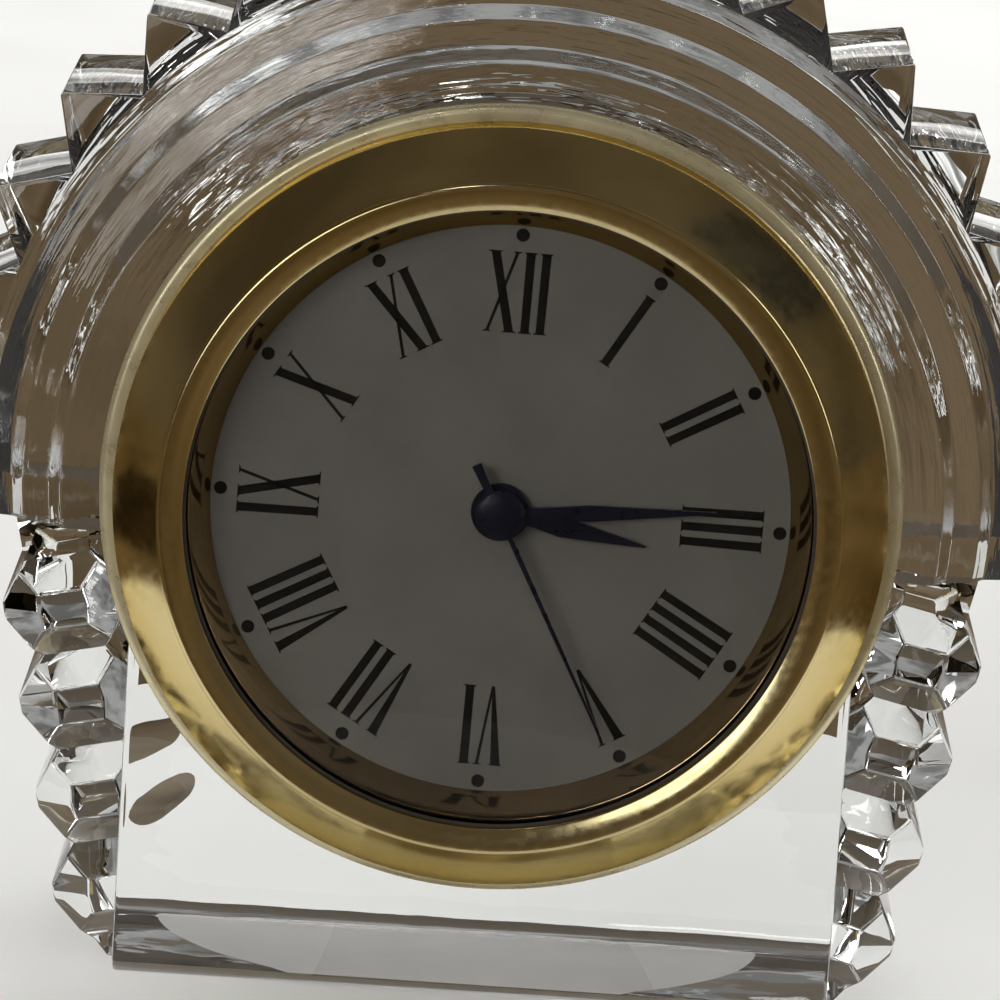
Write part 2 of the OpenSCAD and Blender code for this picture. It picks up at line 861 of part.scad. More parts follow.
module main_plate() {
    color([0.7, 0.71, 0.7])
        facing()
            difference() {
                union() {
                    disc(plate_r, plate_back, plate_front);
                    translate(minute_at)
                        disc(post_r, plate_front - eps, hour_wheel_z + wheel_t + 0.3);
                    for (a = pillar_angles)
                        rotate([0, 0, a])
                            translate([pillar_ring, 0, 0])
                                disc(pillar_r, bridge_front, plate_back + eps);
                    for (x = [leg_low, leg_high])
                        translate([x, coil_y, 0])
                            disc(boss_r, stator_top, plate_back + eps);
                }
                disc(cannon_r + run_gap, plate_back - 1, plate_front + 1);
                for (p = [third_at, fifth_at, rotor_at])
                    translate(p)
                        disc(arbor_r + run_gap, plate_back - 1, plate_front + 1);
                translate(stem_at)
                    disc(stem_r + run_gap, plate_back - 1, plate_front + 1);
                for (a = pillar_angles)
                    rotate([0, 0, a])
                        translate([pillar_ring, 0, 0])
                            disc(screw_r + thread_gap, bridge_front - 1, bridge_front + 1.6);
                for (x = [leg_low, leg_high])
                    translate([x, coil_y, 0])
                        disc(screw_r + thread_gap, stator_top - 1, stator_top + 1.2);
                for (a = plate_screw_angles)
                    rotate([0, 0, a])
                        translate([plate_screw_ring, 0, 0])
                            disc(screw_r + thread_gap, plate_back - 1, plate_front + 1);
            }
}

// Going train between main plate and bridge.

// An arbor that runs in the main plate and in the bridge.
module arbor() {
    disc(arbor_r, bridge_back + 0.1, plate_front - 0.1);
}

module rotor() {
    phase = mesh_phase(rotor_dir, fifth_n, rotor_n, rotor_dir);
    color([0.3, 0.3, 0.33])
        facing()
            translate(rotor_at) {
                disc(1.15, stator_top - stator_t - 0.3, stator_top + 0.3);
                gear(rotor_n, m_rotor, phase, fifth_z - 0.2, fifth_z + pinion_len - 0.2);
                arbor();
            }
}

module fifth_wheel() {
    color([0.8, 0.68, 0.36])
        facing()
            translate(fifth_at) {
                wheel(fifth_n, m_rotor, rotor_dir, fifth_z, fifth_z + wheel_t, 5);
                gear(fifth_pinion_n, m_seconds, fifth_dir + 180, fifth_z,
                    seconds_z + wheel_t + 0.15);
                arbor();
            }
}

module seconds_wheel() {
    phase = mesh_phase(fifth_dir + 180, fifth_pinion_n, seconds_n, fifth_dir + 180);
    color([0.8, 0.68, 0.36])
        facing() {
            wheel(seconds_n, m_seconds, phase, seconds_z, seconds_z + wheel_t, 5);
            gear(seconds_pinion_n, m_third, third_dir, seconds_z, third_z + wheel_t + 0.2);
            disc(seconds_arbor_r, bridge_back + 0.1, second_z + hand_t - 0.02);
        }
}

module third_wheel() {
    phase = mesh_phase(third_dir, seconds_pinion_n, third_n, third_dir);
    color([0.8, 0.68, 0.36])
        facing()
            translate(third_at) {
                wheel(third_n, m_third, phase, third_z, third_z + wheel_t, 5);
                gear(third_pinion_n, m_centre, third_dir + 180, third_z,
                    centre_z + wheel_t + 0.2);
                arbor();
            }
}

// The centre wheel grips the cannon pinion's pipe and slips on it when the hands are set.
module centre_wheel() {
    phase = mesh_phase(third_dir + 180, third_pinion_n, centre_n, third_dir + 180);
    color([0.8, 0.68, 0.36])
        facing()
            difference() {
                union() {
                    wheel(centre_n, m_centre, phase, centre_z, centre_z + wheel_t, 5);
                    disc(cannon_r + 0.5, centre_z, plate_back - 0.1);
                }
                disc(cannon_r + press_gap, centre_z - 1, plate_back + 1);
            }
}

module train_bridge() {
    color([0.16, 0.2, 0.17])
        facing()
            difference() {
                disc(bridge_r, bridge_back, bridge_front);
                disc(seconds_arbor_r + run_gap, bridge_back - 1, bridge_front + 1);
                for (p = [third_at, fifth_at, rotor_at])
                    translate(p)
                        disc(arbor_r + run_gap, bridge_back - 1, bridge_front + 1);
                translate(stem_at)
                    disc(stem_r + run_gap, bridge_back - 1, bridge_front + 1);
                for (a = pillar_angles)
                    rotate([0, 0, a])
                        translate([pillar_ring, 0, 0])
                            disc(screw_r + clamp_gap, bridge_back - 1, bridge_front + 1);
                for (p = board_screw_at)
                    translate(p)
                        disc(screw_r + thread_gap, bridge_back - 1, bridge_front + 1);
            }
}

// Stepping motor: stator, core, bobbin and winding.

module stator() {
    color([0.62, 0.62, 0.6])
        facing()
            difference() {
                slab(stator_top - stator_t, stator_top) {
                    translate(rotor_at)
                        circle(r = 3);
                    translate([leg_low - leg_w / 2, stator_bar_y - stator_bar_w / 2])
                        square([rotor_at[0] - leg_low + leg_w / 2, stator_bar_w]);
                    translate([leg_low - leg_w / 2, stator_bar_y])
                        square([leg_w, coil_y - stator_bar_y + boss_r]);
                    translate([leg_high - leg_w / 2, rotor_at[1]])
                        square([leg_w, coil_y - rotor_at[1] + boss_r]);
                }
                translate(rotor_at)
                    disc(1.5, stator_top - 2, stator_top + 1);
                for (x = [leg_low, leg_high])
                    translate([x, coil_y, 0])
                        disc(screw_r + clamp_gap, stator_top - 2, stator_top + 1);
            }
}

module coil_core() {
    color([0.66, 0.65, 0.62])
        facing()
            difference() {
                translate([leg_low - 1, coil_y - core_w / 2, core_top - core_t])
                    cube([2 * core_half + 2, core_w, core_t]);
                for (x = [leg_low, leg_high])
                    translate([x, coil_y, 0])
                        disc(screw_r + clamp_gap, core_top - 2, core_top + 1);
            }
}

module bobbin_tube(spare, half_len) {
    w = core_w + 2 * bobbin_wall + 2 * spare;
    t = core_t + 2 * bobbin_wall + 2 * spare;
    translate([coil_x - half_len, coil_y - w / 2, coil_z - t / 2])
        cube([2 * half_len, w, t]);
}

module coil_bobbin() {
    half = coil_len / 2 + bobbin_flange_t;
    color([0.2, 0.35, 0.5])
        facing()
            difference() {
                union() {
                    bobbin_tube(0, half);
                    for (x = [coil_x - half, coil_x + half - bobbin_flange_t])
                        translate([x, coil_y - coil_r, coil_z - coil_r])
                            cube([bobbin_flange_t, 2 * coil_r, 2 * coil_r]);
                }
                translate([coil_x - half - 1, coil_y - core_w / 2 - 0.03,
                    coil_z - core_t / 2 - 0.03])
                    cube([2 * half + 2, core_w + 0.06, core_t + 0.06]);
            }
}

module coil_winding() {
    length = coil_len - 0.04;
    color([0.72, 0.38, 0.18])
        facing()
            difference() {
                translate([coil_x - length / 2, coil_y, coil_z])
                    rotate([0, 90, 0])
                        cylinder(r = coil_r - 0.1, h = length);
                bobbin_tube(0.01, coil_len);
            }
}

// Circuit, cell and contacts behind the bridge.

module circuit_board() {
    x0 = board_x;
    color([0.1, 0.35, 0.16])
        facing()
            difference() {
                slab(board_back, bridge_back)
                    polygon([[x0, -board_low], [x0 + 0.8 * board_w, -board_low],
                        [x0 + board_w, -0.6 * board_low], [x0 + board_w, 0.6 * board_high],
                        [x0 + 0.65 * board_w, board_high], [x0, board_high]]);
                for (p = board_screw_at)
                    translate(p)
                        disc(screw_r + clamp_gap, board_back - 1, bridge_back + 1);
            }
}

module driver_chip() {
    color([0.07, 0.07, 0.07])
        facing()
            translate([board_x + 0.48 * board_w, 0.34 * board_high, 0]) {
                disc(1.9, board_back - 0.5, board_back);
                disc(1.4, board_back - 0.9, board_back);
            }
}

module quartz_can() {
    can_r = 1.0;
    color([0.75, 0.75, 0.77])
        facing()
            translate([can_x, 0.46 * board_high, board_back - can_r - 0.03])
                rotate([90, 0, 0]) {
                    cylinder(r = can_r, h = can_len);
                    cylinder(r = can_r * 0.85, h = can_len + 0.5);
                }
}

module battery_cell() {
    r = cell_d / 2;
    color([0.78, 0.78, 0.76])
        facing()
            translate(cell_at)
                rotate_extrude()
                    polygon([[0, cell_back], [r - 0.3, cell_back], [r, cell_back + 0.3],
                        [r, cell_top - 1.0], [r - 0.7, cell_top - 0.5],
                        [r - 0.9, cell_top], [0, cell_top]]);
}

// Flat strip under the cell, from its middle to the board's edge.
module negative_contact() {
    color([0.8, 0.72, 0.45])
        facing()
            translate([cell_at[0] - 1, cell_at[1] - strip_w / 2, bridge_back - strip_t])
                cube([board_x - cell_at[0] + 0.95, strip_w, strip_t]);
}

// Curved spring strip against the side of the cell, with a tab to the board.
module positive_contact() {
    r = cell_d / 2 + contact_gap;
    wedge = 34;
    color([0.8, 0.72, 0.45])
        facing()
            translate(cell_at) {
                intersection() {
                    tube(r + strip_t, r, cell_back + 1.4, bridge_back);
                    slab(cell_back, bridge_back)
                        polygon([[0, 0], toward(20, wedge), toward(20, wedge - 20)]);
                }
                intersection() {
                    tube(r + 1.6, r, bridge_back - strip_t, bridge_back);
                    slab(bridge_back - 1, bridge_back)
                        polygon([[0, 0], toward(20, wedge - 4), toward(20, wedge - 16)]);
                }
            }
}

// Screws. Each group stands in the holes of the pieces that it fastens.

module screw(head_z, length, up) {
    // up is 1 where the head faces the viewer and -1 where it faces the back
    direction = up > 0 ? 0 : 180;
    translate([0, 0, head_z])
        rotate([direction, 0, 0])
            difference() {
                union() {
                    disc(screw_head_r, 0, screw_head_t);
                    disc(screw_r, -length, eps);
                }
                translate([-screw_head_r - 1, -0.12, screw_head_t - 0.2])
                    cube([2 * screw_head_r + 2, 0.24, 1]);
            }
}

module plate_screws() {
    color([0.7, 0.7, 0.7])
        facing()
            for (a = plate_screw_angles)
                rotate([0, 0, a])
                    translate([plate_screw_ring, 0, 0])
                        screw(plate_front, plate_t + 0.9, 1);
}

module bridge_screws() {
    color([0.7, 0.7, 0.7])
        facing()
            for (a = pillar_angles)
                rotate([0, 0, a])
                    translate([pillar_ring, 0, 0])
                        screw(bridge_back, bridge_t + 1.4, -1);
}

module coil_screws() {
    color([0.7, 0.7, 0.7])
        facing()
            for (x = [leg_low, leg_high])
                translate([x, coil_y, 0])
                    screw(core_top - core_t, core_t + stator_t + 1.1, -1);
}

module board_screws() {
    color([0.7, 0.7, 0.7])
        facing()
            for (p = board_screw_at)
                translate(p)
                    screw(board_back, board_t + bridge_t - 0.1, -1);
}

crystal_body();
bezel();
lens_gasket();
lens();
reflector_ring();
dial();
hour_hand();
minute_hand();
second_hand();
case_cup();
grip_ring();
movement_holder();
main_plate();
train_bridge();
stator();
coil_core();
coil_bobbin();
coil_winding();
rotor();
fifth_wheel();
seconds_wheel();
third_wheel();
centre_wheel();
cannon_pinion();
minute_wheel();
hour_wheel();
hour_wheel_washer();
setting_stem();
setting_knob();
circuit_board();
driver_chip();
quartz_can();
battery_cell();
negative_contact();
positive_contact();
back_cover();
battery_hatch();
plate_screws();
bridge_screws();
coil_screws();
board_screws();
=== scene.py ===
# %% [markdown]
# # A cut crystal desk clock
#
# The clock is a small block of pressed crystal with a round hole bored through it. A gold
# coloured clock insert, 50 mm across, is pushed into the hole from the front. Everything
# that moves sits in the insert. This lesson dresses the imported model, one piece at a time:
# first the daylight and the camera, then the crystal, the gold parts, the dial and the hands.

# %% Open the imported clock
import bpy
import bmesh
from math import sin, cos, tan, pi, radians, sqrt, atan2, hypot
from mathutils import Matrix, Vector


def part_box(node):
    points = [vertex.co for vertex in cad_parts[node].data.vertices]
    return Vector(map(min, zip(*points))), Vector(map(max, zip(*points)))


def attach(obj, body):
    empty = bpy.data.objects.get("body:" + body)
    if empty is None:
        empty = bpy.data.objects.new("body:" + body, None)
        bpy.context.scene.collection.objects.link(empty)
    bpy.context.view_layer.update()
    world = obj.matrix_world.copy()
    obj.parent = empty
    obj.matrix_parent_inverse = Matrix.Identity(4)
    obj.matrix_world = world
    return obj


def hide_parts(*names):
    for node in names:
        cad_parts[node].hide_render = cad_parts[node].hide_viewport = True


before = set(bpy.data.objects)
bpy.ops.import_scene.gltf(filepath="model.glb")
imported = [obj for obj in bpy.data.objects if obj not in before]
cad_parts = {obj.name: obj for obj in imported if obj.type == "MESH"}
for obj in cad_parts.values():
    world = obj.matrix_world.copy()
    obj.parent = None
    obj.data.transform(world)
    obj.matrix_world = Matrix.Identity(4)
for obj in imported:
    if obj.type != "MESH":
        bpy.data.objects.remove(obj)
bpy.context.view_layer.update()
bpy.context.scene.view_settings.view_transform = "Standard"
print("packed nodes:", len(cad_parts))

# %% [markdown]
# Sizes are written in millimetres, as a clockmaker would measure them. The dial has its own
# directions: x to the right, y up and z out of the face, from the front of the crystal. The
# function `at` turns such a point into the place in the scene, in metres.

# %% Sizes and directions
MM = 0.001
AXIS_HEIGHT = 32.5
FACE_Y = -10.55
CRYSTAL_DEPTH = 28.0
BORE_R = 22.5
BEZEL_R = 25.0
DIAL_TOP = 3.0
HAND_T = 0.2


def at(x, y, z):
    return Vector((x, FACE_Y - z, AXIS_HEIGHT + y)) * MM


def on_dial(radius, angle):
    return radius * sin(radians(angle)), radius * cos(radians(angle))


print("dial centre:", tuple(round(v, 4) for v in at(0, 0, DIAL_TOP)))

# %% [markdown]
# Three small helpers are used all the way through. One makes an object from a bmesh and
# turns its faces outwards, one spins a profile round the dial's axis, and one sets smooth
# shading with sharp edges where two faces meet at a steep angle.


# %% Helpers for meshes
def new_piece(name, bm, smooth=30):
    bmesh.ops.remove_doubles(bm, verts=bm.verts, dist=1e-7)
    bmesh.ops.recalc_face_normals(bm, faces=bm.faces)
    mesh = bpy.data.meshes.new(name)
    bm.to_mesh(mesh)
    bm.free()
    piece = bpy.data.objects.new(name, mesh)
    bpy.context.scene.collection.objects.link(piece)
    soften(piece, smooth)
    return piece


def soften(piece, angle=30):
    mesh = piece.data
    mesh.shade_smooth()
    mesh.set_sharp_from_angle(angle=radians(angle))


def rounded(points, radius, steps=4):
    """The closed outline with each corner replaced by an arc of the given radius."""
    out = []
    n = len(points)
    for i in range(n):
        p, a, b = Vector(points[i]), Vector(points[i - 1]), Vector(points[(i + 1) % n])
        r = radius[i] if isinstance(radius, (list, tuple)) else radius
        to_a, to_b = (a - p), (b - p)
        angle = to_a.angle(to_b)
        if r <= 0 or angle > radians(174):
            out.append((p.x, p.y))
            continue
        reach = min(r / tan(angle / 2), to_a.length * 0.48, to_b.length * 0.48)
        start, end = p + to_a.normalized() * reach, p + to_b.normalized() * reach
        for k in range(steps + 1):
            t = k / steps
            q = start.lerp(p, t).lerp(p.lerp(end, t), t)
            out.append((q.x, q.y))
    return out


def spun(name, profile, sides=192, smooth=30, closed=True):
    """A profile of (radius, z) turned once round the dial's axis."""
    bm = bmesh.new()
    loops = []
    for k in range(sides):
        a = 2 * pi * k / sides
        loops.append([bm.verts.new(at(r * sin(a), r * cos(a), z)) for r, z in profile])
    count = len(profile)
    for k in range(sides):
        one, two = loops[k], loops[(k + 1) % sides]
        for i in range(count if closed else count - 1):
            j = (i + 1) % count
            ring = [one[i], one[j], two[j], two[i]]
            if profile[i][0] < 1e-6:
                ring = [one[i], one[j], two[j]]
            if profile[j][0] < 1e-6:
                ring = [one[i], one[j], two[i]]
            if profile[i][0] < 1e-6 and profile[j][0] < 1e-6:
                continue
            bm.faces.new(ring)
    return new_piece(name, bm, smooth)


def slab(name, outline, z0, z1, bevel=0.0, smooth=30):
    """A flat piece of the given outline between two levels, with its edges eased."""
    bm = bmesh.new()
    low = [bm.verts.new(at(x, y, z0)) for x, y in outline]
    high = [bm.verts.new(at(x, y, z1)) for x, y in outline]
    bm.faces.new(low)
    bm.faces.new(high)
    for i in range(len(outline)):
        j = (i + 1) % len(outline)
        bm.faces.new([low[i], low[j], high[j], high[i]])
    if bevel:
        sharp = [e for e in bm.edges if e.calc_face_angle(0) > radians(25)]
        bmesh.ops.bevel(bm, geom=sharp, offset=bevel * MM, segments=2, profile=0.6,
                        affect="EDGES", clamp_overlap=True)
    return new_piece(name, bm, smooth)


print("helpers ready")

# %% [markdown]
# ## Finishes
#
# A finish is a material built from nodes. All of them share one recipe: a slow noise moves
# the colour between two tones, a second noise moves the roughness, and a fine bump gives the
# surface its grain. Noise reads Object coordinates, so a pattern stays on its piece.


# %% A recipe for finishes
def start_material(name):
    material = bpy.data.materials.new(name)
    material.use_nodes = True
    nodes, links = material.node_tree.nodes, material.node_tree.links
    nodes.clear()
    out = nodes.new("ShaderNodeOutputMaterial")
    shader = nodes.new("ShaderNodeBsdfPrincipled")
    links.new(shader.outputs["BSDF"], out.inputs["Surface"])
    place = nodes.new("ShaderNodeTexCoord")
    return material, nodes, links, out, shader, place


def noise(nodes, links, place, scale, detail=3.0, stretch=(1, 1, 1), turn=(0, 0, 0)):
    mapping = nodes.new("ShaderNodeMapping")
    mapping.inputs["Scale"].default_value = stretch
    mapping.inputs["Rotation"].default_value = turn
    links.new(place.outputs["Object"], mapping.inputs["Vector"])
    texture = nodes.new("ShaderNodeTexNoise")
    texture.inputs["Scale"].default_value = scale
    texture.inputs["Detail"].default_value = detail
    links.new(mapping.outputs["Vector"], texture.inputs["Vector"])
    return texture.outputs["Fac"]


def ramp(nodes, links, source, low, high, at_low=0.3, at_high=0.7):
    node = nodes.new("ShaderNodeValToRGB")
    node.color_ramp.elements[0].position = at_low
    node.color_ramp.elements[1].position = at_high
    node.color_ramp.elements[0].color = low
    node.color_ramp.elements[1].color = high
    links.new(source, node.inputs["Fac"])
    return node.outputs["Color"]


def between(nodes, links, source, low, high):
    node = nodes.new("ShaderNodeMapRange")
    node.inputs["From Min"].default_value = 0.3
    node.inputs["From Max"].default_value = 0.7
    node.inputs["To Min"].default_value = low
    node.inputs["To Max"].default_value = high
    links.new(source, node.inputs["Value"])
    return node.outputs["Result"]


def bump(nodes, links, shader, sources, distance):
    normal = None
    for source, strength in sources:
        node = nodes.new("ShaderNodeBump")
        node.inputs["Strength"].default_value = strength
        node.inputs["Distance"].default_value = distance
        links.new(source, node.inputs["Height"])
        if normal:
            links.new(normal, node.inputs["Normal"])
        normal = node.outputs["Normal"]
    links.new(normal, shader.inputs["Normal"])


def finish(name, tone_a, tone_b, metal=0.0, rough=(0.3, 0.5), grain=900, grain_depth=0.15,
           blotch=120, distance=0.00004, coat=0.0, stretch=(1, 1, 1), shine=0.5):
    material, nodes, links, out, shader, place = start_material(name)
    slow = noise(nodes, links, place, blotch)
    fine = noise(nodes, links, place, grain, 4.0, stretch)
    links.new(ramp(nodes, links, slow, (*tone_a, 1), (*tone_b, 1)), shader.inputs["Base Color"])
    links.new(between(nodes, links, fine, *rough), shader.inputs["Roughness"])
    bump(nodes, links, shader, [(fine, grain_depth)], distance)
    shader.inputs["Metallic"].default_value = metal
    shader.inputs["Specular IOR Level"].default_value = shine
    shader.inputs["Coat Weight"].default_value = coat
    return material


print("finish recipe ready")

# %% [markdown]
# ## Daylight and camera
#
# Glass has no colour of its own: it shows the room. A pale table and a soft white room give
# it its body. Dark cards outside the picture, one like a dark room and one like a wooden top,
# give the edges of the crystal and the upper half of the gold their brown tones, as in a
# studio. The cards don't block light, and the camera doesn't see them.


# %% Table, room and lamps
# Brown ovals that only the glass shows: painted dark spots beside the bezel.
PAINTED_SPOT_OVALS = [(-0.0212, 0.0490, -0.0204, 0.0630, 0.0011), (-0.0196, 0.0345, -0.0184, 0.0470, 0.0011)]
# Glowing strips that only the glass shows: painted highlights on the ridges.
STRIPS = [(-0.20, 0.16, 60, 0.22, 0.012), (-0.15, 0.24, 75, 0.26, 0.016), (-0.10, 0.30, 85, 0.30, 0.010),
          (-0.26, 0.30, 50, 0.30, 0.020), (-0.05, 0.42, 95, 0.30, 0.012), (0.04, 0.34, 88, 0.26, 0.009),
          (0.11, 0.26, 104, 0.28, 0.014), (0.17, 0.20, 118, 0.24, 0.012), (0.25, 0.30, 128, 0.30, 0.020),
          (0.32, 0.18, 140, 0.22, 0.014), (-0.34, 0.17, 35, 0.22, 0.014), (0.08, 0.50, 80, 0.24, 0.014)]


def unseen_by_camera(piece):
    piece.visible_camera = False
    piece.visible_diffuse = False
    piece.visible_shadow = False
    return piece


def glowing(name, dark, light, size, low=0.35, high=0.7):
    """A card's own colour, in soft patches, so that reflections have something to show."""
    material = bpy.data.materials.new(name)
    material.use_nodes = True
    nodes, links = material.node_tree.nodes, material.node_tree.links
    nodes.clear()
    out, glow = nodes.new("ShaderNodeOutputMaterial"), nodes.new("ShaderNodeEmission")
    place = nodes.new("ShaderNodeTexCoord")
    patches = noise(nodes, links, place, size, 2.0)
    links.new(ramp(nodes, links, patches, (*dark, 1), (*light, 1), low, high), glow.inputs["Color"])
    links.new(glow.outputs["Emission"], out.inputs["Surface"])
    return material


def canopy():
    """A dark room: the inside of a half ball, seen only in reflections and through glass."""
    bm = bmesh.new()
    bmesh.ops.create_uvsphere(bm, u_segments=48, v_segments=24, radius=1.6)
    low = [v for v in bm.verts if v.co.z < -0.001]
    bmesh.ops.delete(bm, geom=low, context="VERTS")
    piece = new_piece("dark_room", bm)
    piece.data.materials.append(glowing("room_dark", (0.050, 0.040, 0.029), (0.13, 0.108, 0.082), 0.7, 0.40, 0.72))
    return unseen_by_camera(piece)


def dark_reflection_sheet(name, middle, half, for_gold):
    """Dark wood tones round a pale patch with an uneven edge, a painted reflection that only the gold and the glass
    show: one as gold sees it, one for glass.
    """
    bm = bmesh.new()
    inner, outer = [], []
    for k in range(120):
        a = 2 * pi * k / 120
        r = 1 + 0.05 * sin(3 * a + 1.0) + 0.02 * sin(7 * a)
        inner.append(bm.verts.new((middle[0] + r * half[0] * cos(a),
                                   middle[1] + r * half[1] * sin(a), 0.0006)))
        outer.append(bm.verts.new((1.6 * cos(a), 1.6 * sin(a), 0.0006)))
    for k in range(120):
        j = (k + 1) % 120
        bm.faces.new([inner[k], inner[j], outer[j], outer[k]])
    piece = new_piece(name, bm)
    piece.data.materials.append(glowing(name, (0.060, 0.040, 0.020), (0.17, 0.125, 0.075), 9.0))
    piece.visible_glossy, piece.visible_transmission = for_gold, not for_gold
    return unseen_by_camera(piece)


def glowing_streak_strips():
    """Glowing pale strips behind the clock, seen only through the glass: painted highlights, which the ridges show
    as streaks.
    """
    bm = bmesh.new()
    for x, y, turn_by, long, wide in STRIPS:
        side = Vector((cos(radians(turn_by)), sin(radians(turn_by)), 0)) * long / 2
        over = Vector((-side.y, side.x, 0)).normalized() * wide / 2
        mid = Vector((x, y, 0.0012))
        bm.faces.new([bm.verts.new(mid + a * side + b * over) for a, b in
                      ((-1, -1), (1, -1), (1, 1), (-1, 1))])
    piece = new_piece("glowing_streak_strips", bm)
    piece.data.materials.append(glowing("strip_painted_highlight", (0.25, 0.25, 0.24), (1.5, 1.5, 1.46), 45.0, 0.4, 0.6))
    piece.visible_glossy = False
    return unseen_by_camera(piece)


def painted_dark_spots():
    """Long brown ovals just above the table, seen only through the glass: painted dark spots, which the plain block
    shows beside the bezel.
    """
    bm = bmesh.new()
    for x0, y0, x1, y1, half in PAINTED_SPOT_OVALS:
        mid, long = Vector(((x0 + x1) / 2, (y0 + y1) / 2, 0.0012)), Vector((x1 - x0, y1 - y0, 0)) / 2
        wide = Vector((-long.y, long.x, 0)).normalized() * half
        bm.faces.new([bm.verts.new(mid + cos(a) * long + sin(a) * wide)
                      for a in (2 * pi * k / 24 for k in range(24))])
    piece = new_piece("painted_dark_spots", bm)
    piece.data.materials.append(glowing("painted_spot_brown", (0.05, 0.035, 0.02), (0.20, 0.16, 0.11), 130.0))
    piece.visible_glossy = False
    return unseen_by_camera(piece)


def gold_patch(name, half, middle, dark, light, size):
    """A patch just above the table that only the gold mirrors and the camera doesn't see: a painted reflection."""
    bm = bmesh.new()
    bmesh.ops.create_grid(bm, x_segments=1, y_segments=1, size=1.0)
    bmesh.ops.scale(bm, vec=(*half, 1), verts=bm.verts)
    bmesh.ops.translate(bm, vec=(*middle, 0.0008), verts=bm.verts)
    piece = new_piece(name, bm)
    piece.data.materials.append(glowing(name, dark, light, size))
    piece.visible_transmission = False
    return unseen_by_camera(piece)


def table():
    bm = bmesh.new()
    bmesh.ops.create_grid(bm, x_segments=1, y_segments=1, size=3.0)
    piece = new_piece("table_top", bm)
    piece.location.z = -0.00005
    piece.data.materials.append(finish("table_paint", (0.80, 0.80, 0.785), (0.84, 0.84, 0.825),
                                       rough=(0.6, 0.8), grain=60, blotch=4, grain_depth=0.02))
    return piece


def room():
    world = bpy.data.worlds.new("room")
    bpy.context.scene.world = world
    world.use_nodes = True
    nodes, links = world.node_tree.nodes, world.node_tree.links
    nodes.clear()
    out = nodes.new("ShaderNodeOutputWorld")
    light, pale, mix = (nodes.new("ShaderNodeBackground"), nodes.new("ShaderNodeBackground"),
                        nodes.new("ShaderNodeMixShader"))
    light.inputs["Color"].default_value = (1.0, 0.99, 0.97, 1)
    light.inputs["Strength"].default_value = 0.5
    pale.inputs["Color"].default_value = (0.80, 0.80, 0.78, 1)
    pale.inputs["Strength"].default_value = 0.9
    path = nodes.new("ShaderNodeLightPath")
    one, two = nodes.new("ShaderNodeMath"), nodes.new("ShaderNodeMath")
    one.operation = two.operation = "MAXIMUM"
    links.new(path.outputs["Is Camera Ray"], one.inputs[0])
    links.new(path.outputs["Is Glossy Ray"], one.inputs[1])
    links.new(one.outputs[0], two.inputs[0])
    links.new(path.outputs["Is Transmission Ray"], two.inputs[1])
    links.new(two.outputs[0], mix.inputs["Fac"])
    links.new(light.outputs[0], mix.inputs[1])
    links.new(pale.outputs[0], mix.inputs[2])
    links.new(mix.outputs[0], out.inputs["Surface"])


def lamp(name, place, aim, wide, tall, power, colour=(1, 1, 1)):
    data = bpy.data.lights.new(name, "AREA")
    data.shape = "RECTANGLE"
    data.size, data.size_y = wide, tall
    data.energy = power
    data.color = colour
    light = bpy.data.objects.new(name, data)
    bpy.context.scene.collection.objects.link(light)
    light.location = place
    light.rotation_euler = (Vector(aim) - Vector(place)).to_track_quat("-Z", "Y").to_euler()
    return light


table()
room()
window = lamp("window_lamp", (-0.40, -0.80, 0.25), (0, 0, 0.03), 0.5, 0.35, 4.5, (1.0, 0.99, 0.97))
window.visible_glossy = False
lamp("side_lamp", (0.75, -0.25, 0.35), (0, 0, 0.03), 0.12, 0.5, 0.8)
floor_lamp = lamp("back_lamp", (0.15, 0.75, 0.7), (0, 0, 0.03), 0.6, 0.25, 5.6)
floor_lamp.visible_glossy = floor_lamp.visible_transmission = False


def window_card(name, corners, strength, least=0.8, patch=6.0, on_gold=True):
    """A bright card: it puts white streaks on ridges and facets that face it."""
    bm = bmesh.new()
    bm.faces.new([bm.verts.new(Vector(c)) for c in corners])
    piece = new_piece(name, bm)
    white = (strength, strength, strength * 0.98)
    dim = tuple(c * least for c in white)
    piece.data.materials.append(glowing(name, dim, white, patch, 0.4, 0.6))
    piece.visible_glossy = on_gold
    return unseen_by_camera(piece)


canopy()
# Painted reflections: dark sheets that only the gold and the glass show, while the camera sees the pale table.
dark_reflection_sheet("dark_reflection_for_gold", (-0.003, 0.0), (0.070, 0.062), True)
dark_reflection_sheet("dark_reflection_for_glass", (0.0, 0.026), (0.0265, 0.082), False)
# Painted highlights: glowing strips seen only through the glass.
glowing_streak_strips()
# Painted dark spots: ovals seen only through the glass.
painted_dark_spots()
# Painted shade: a tan strip just in front of the crystal's foot, which only the gold mirrors, darkens the bottom of
# the bezel.
gold_patch("tan_strip_painted_shade", (0.011, 0.006), (0.001, -0.0145), (0.10, 0.085, 0.06), (0.26, 0.22, 0.16), 160.0)
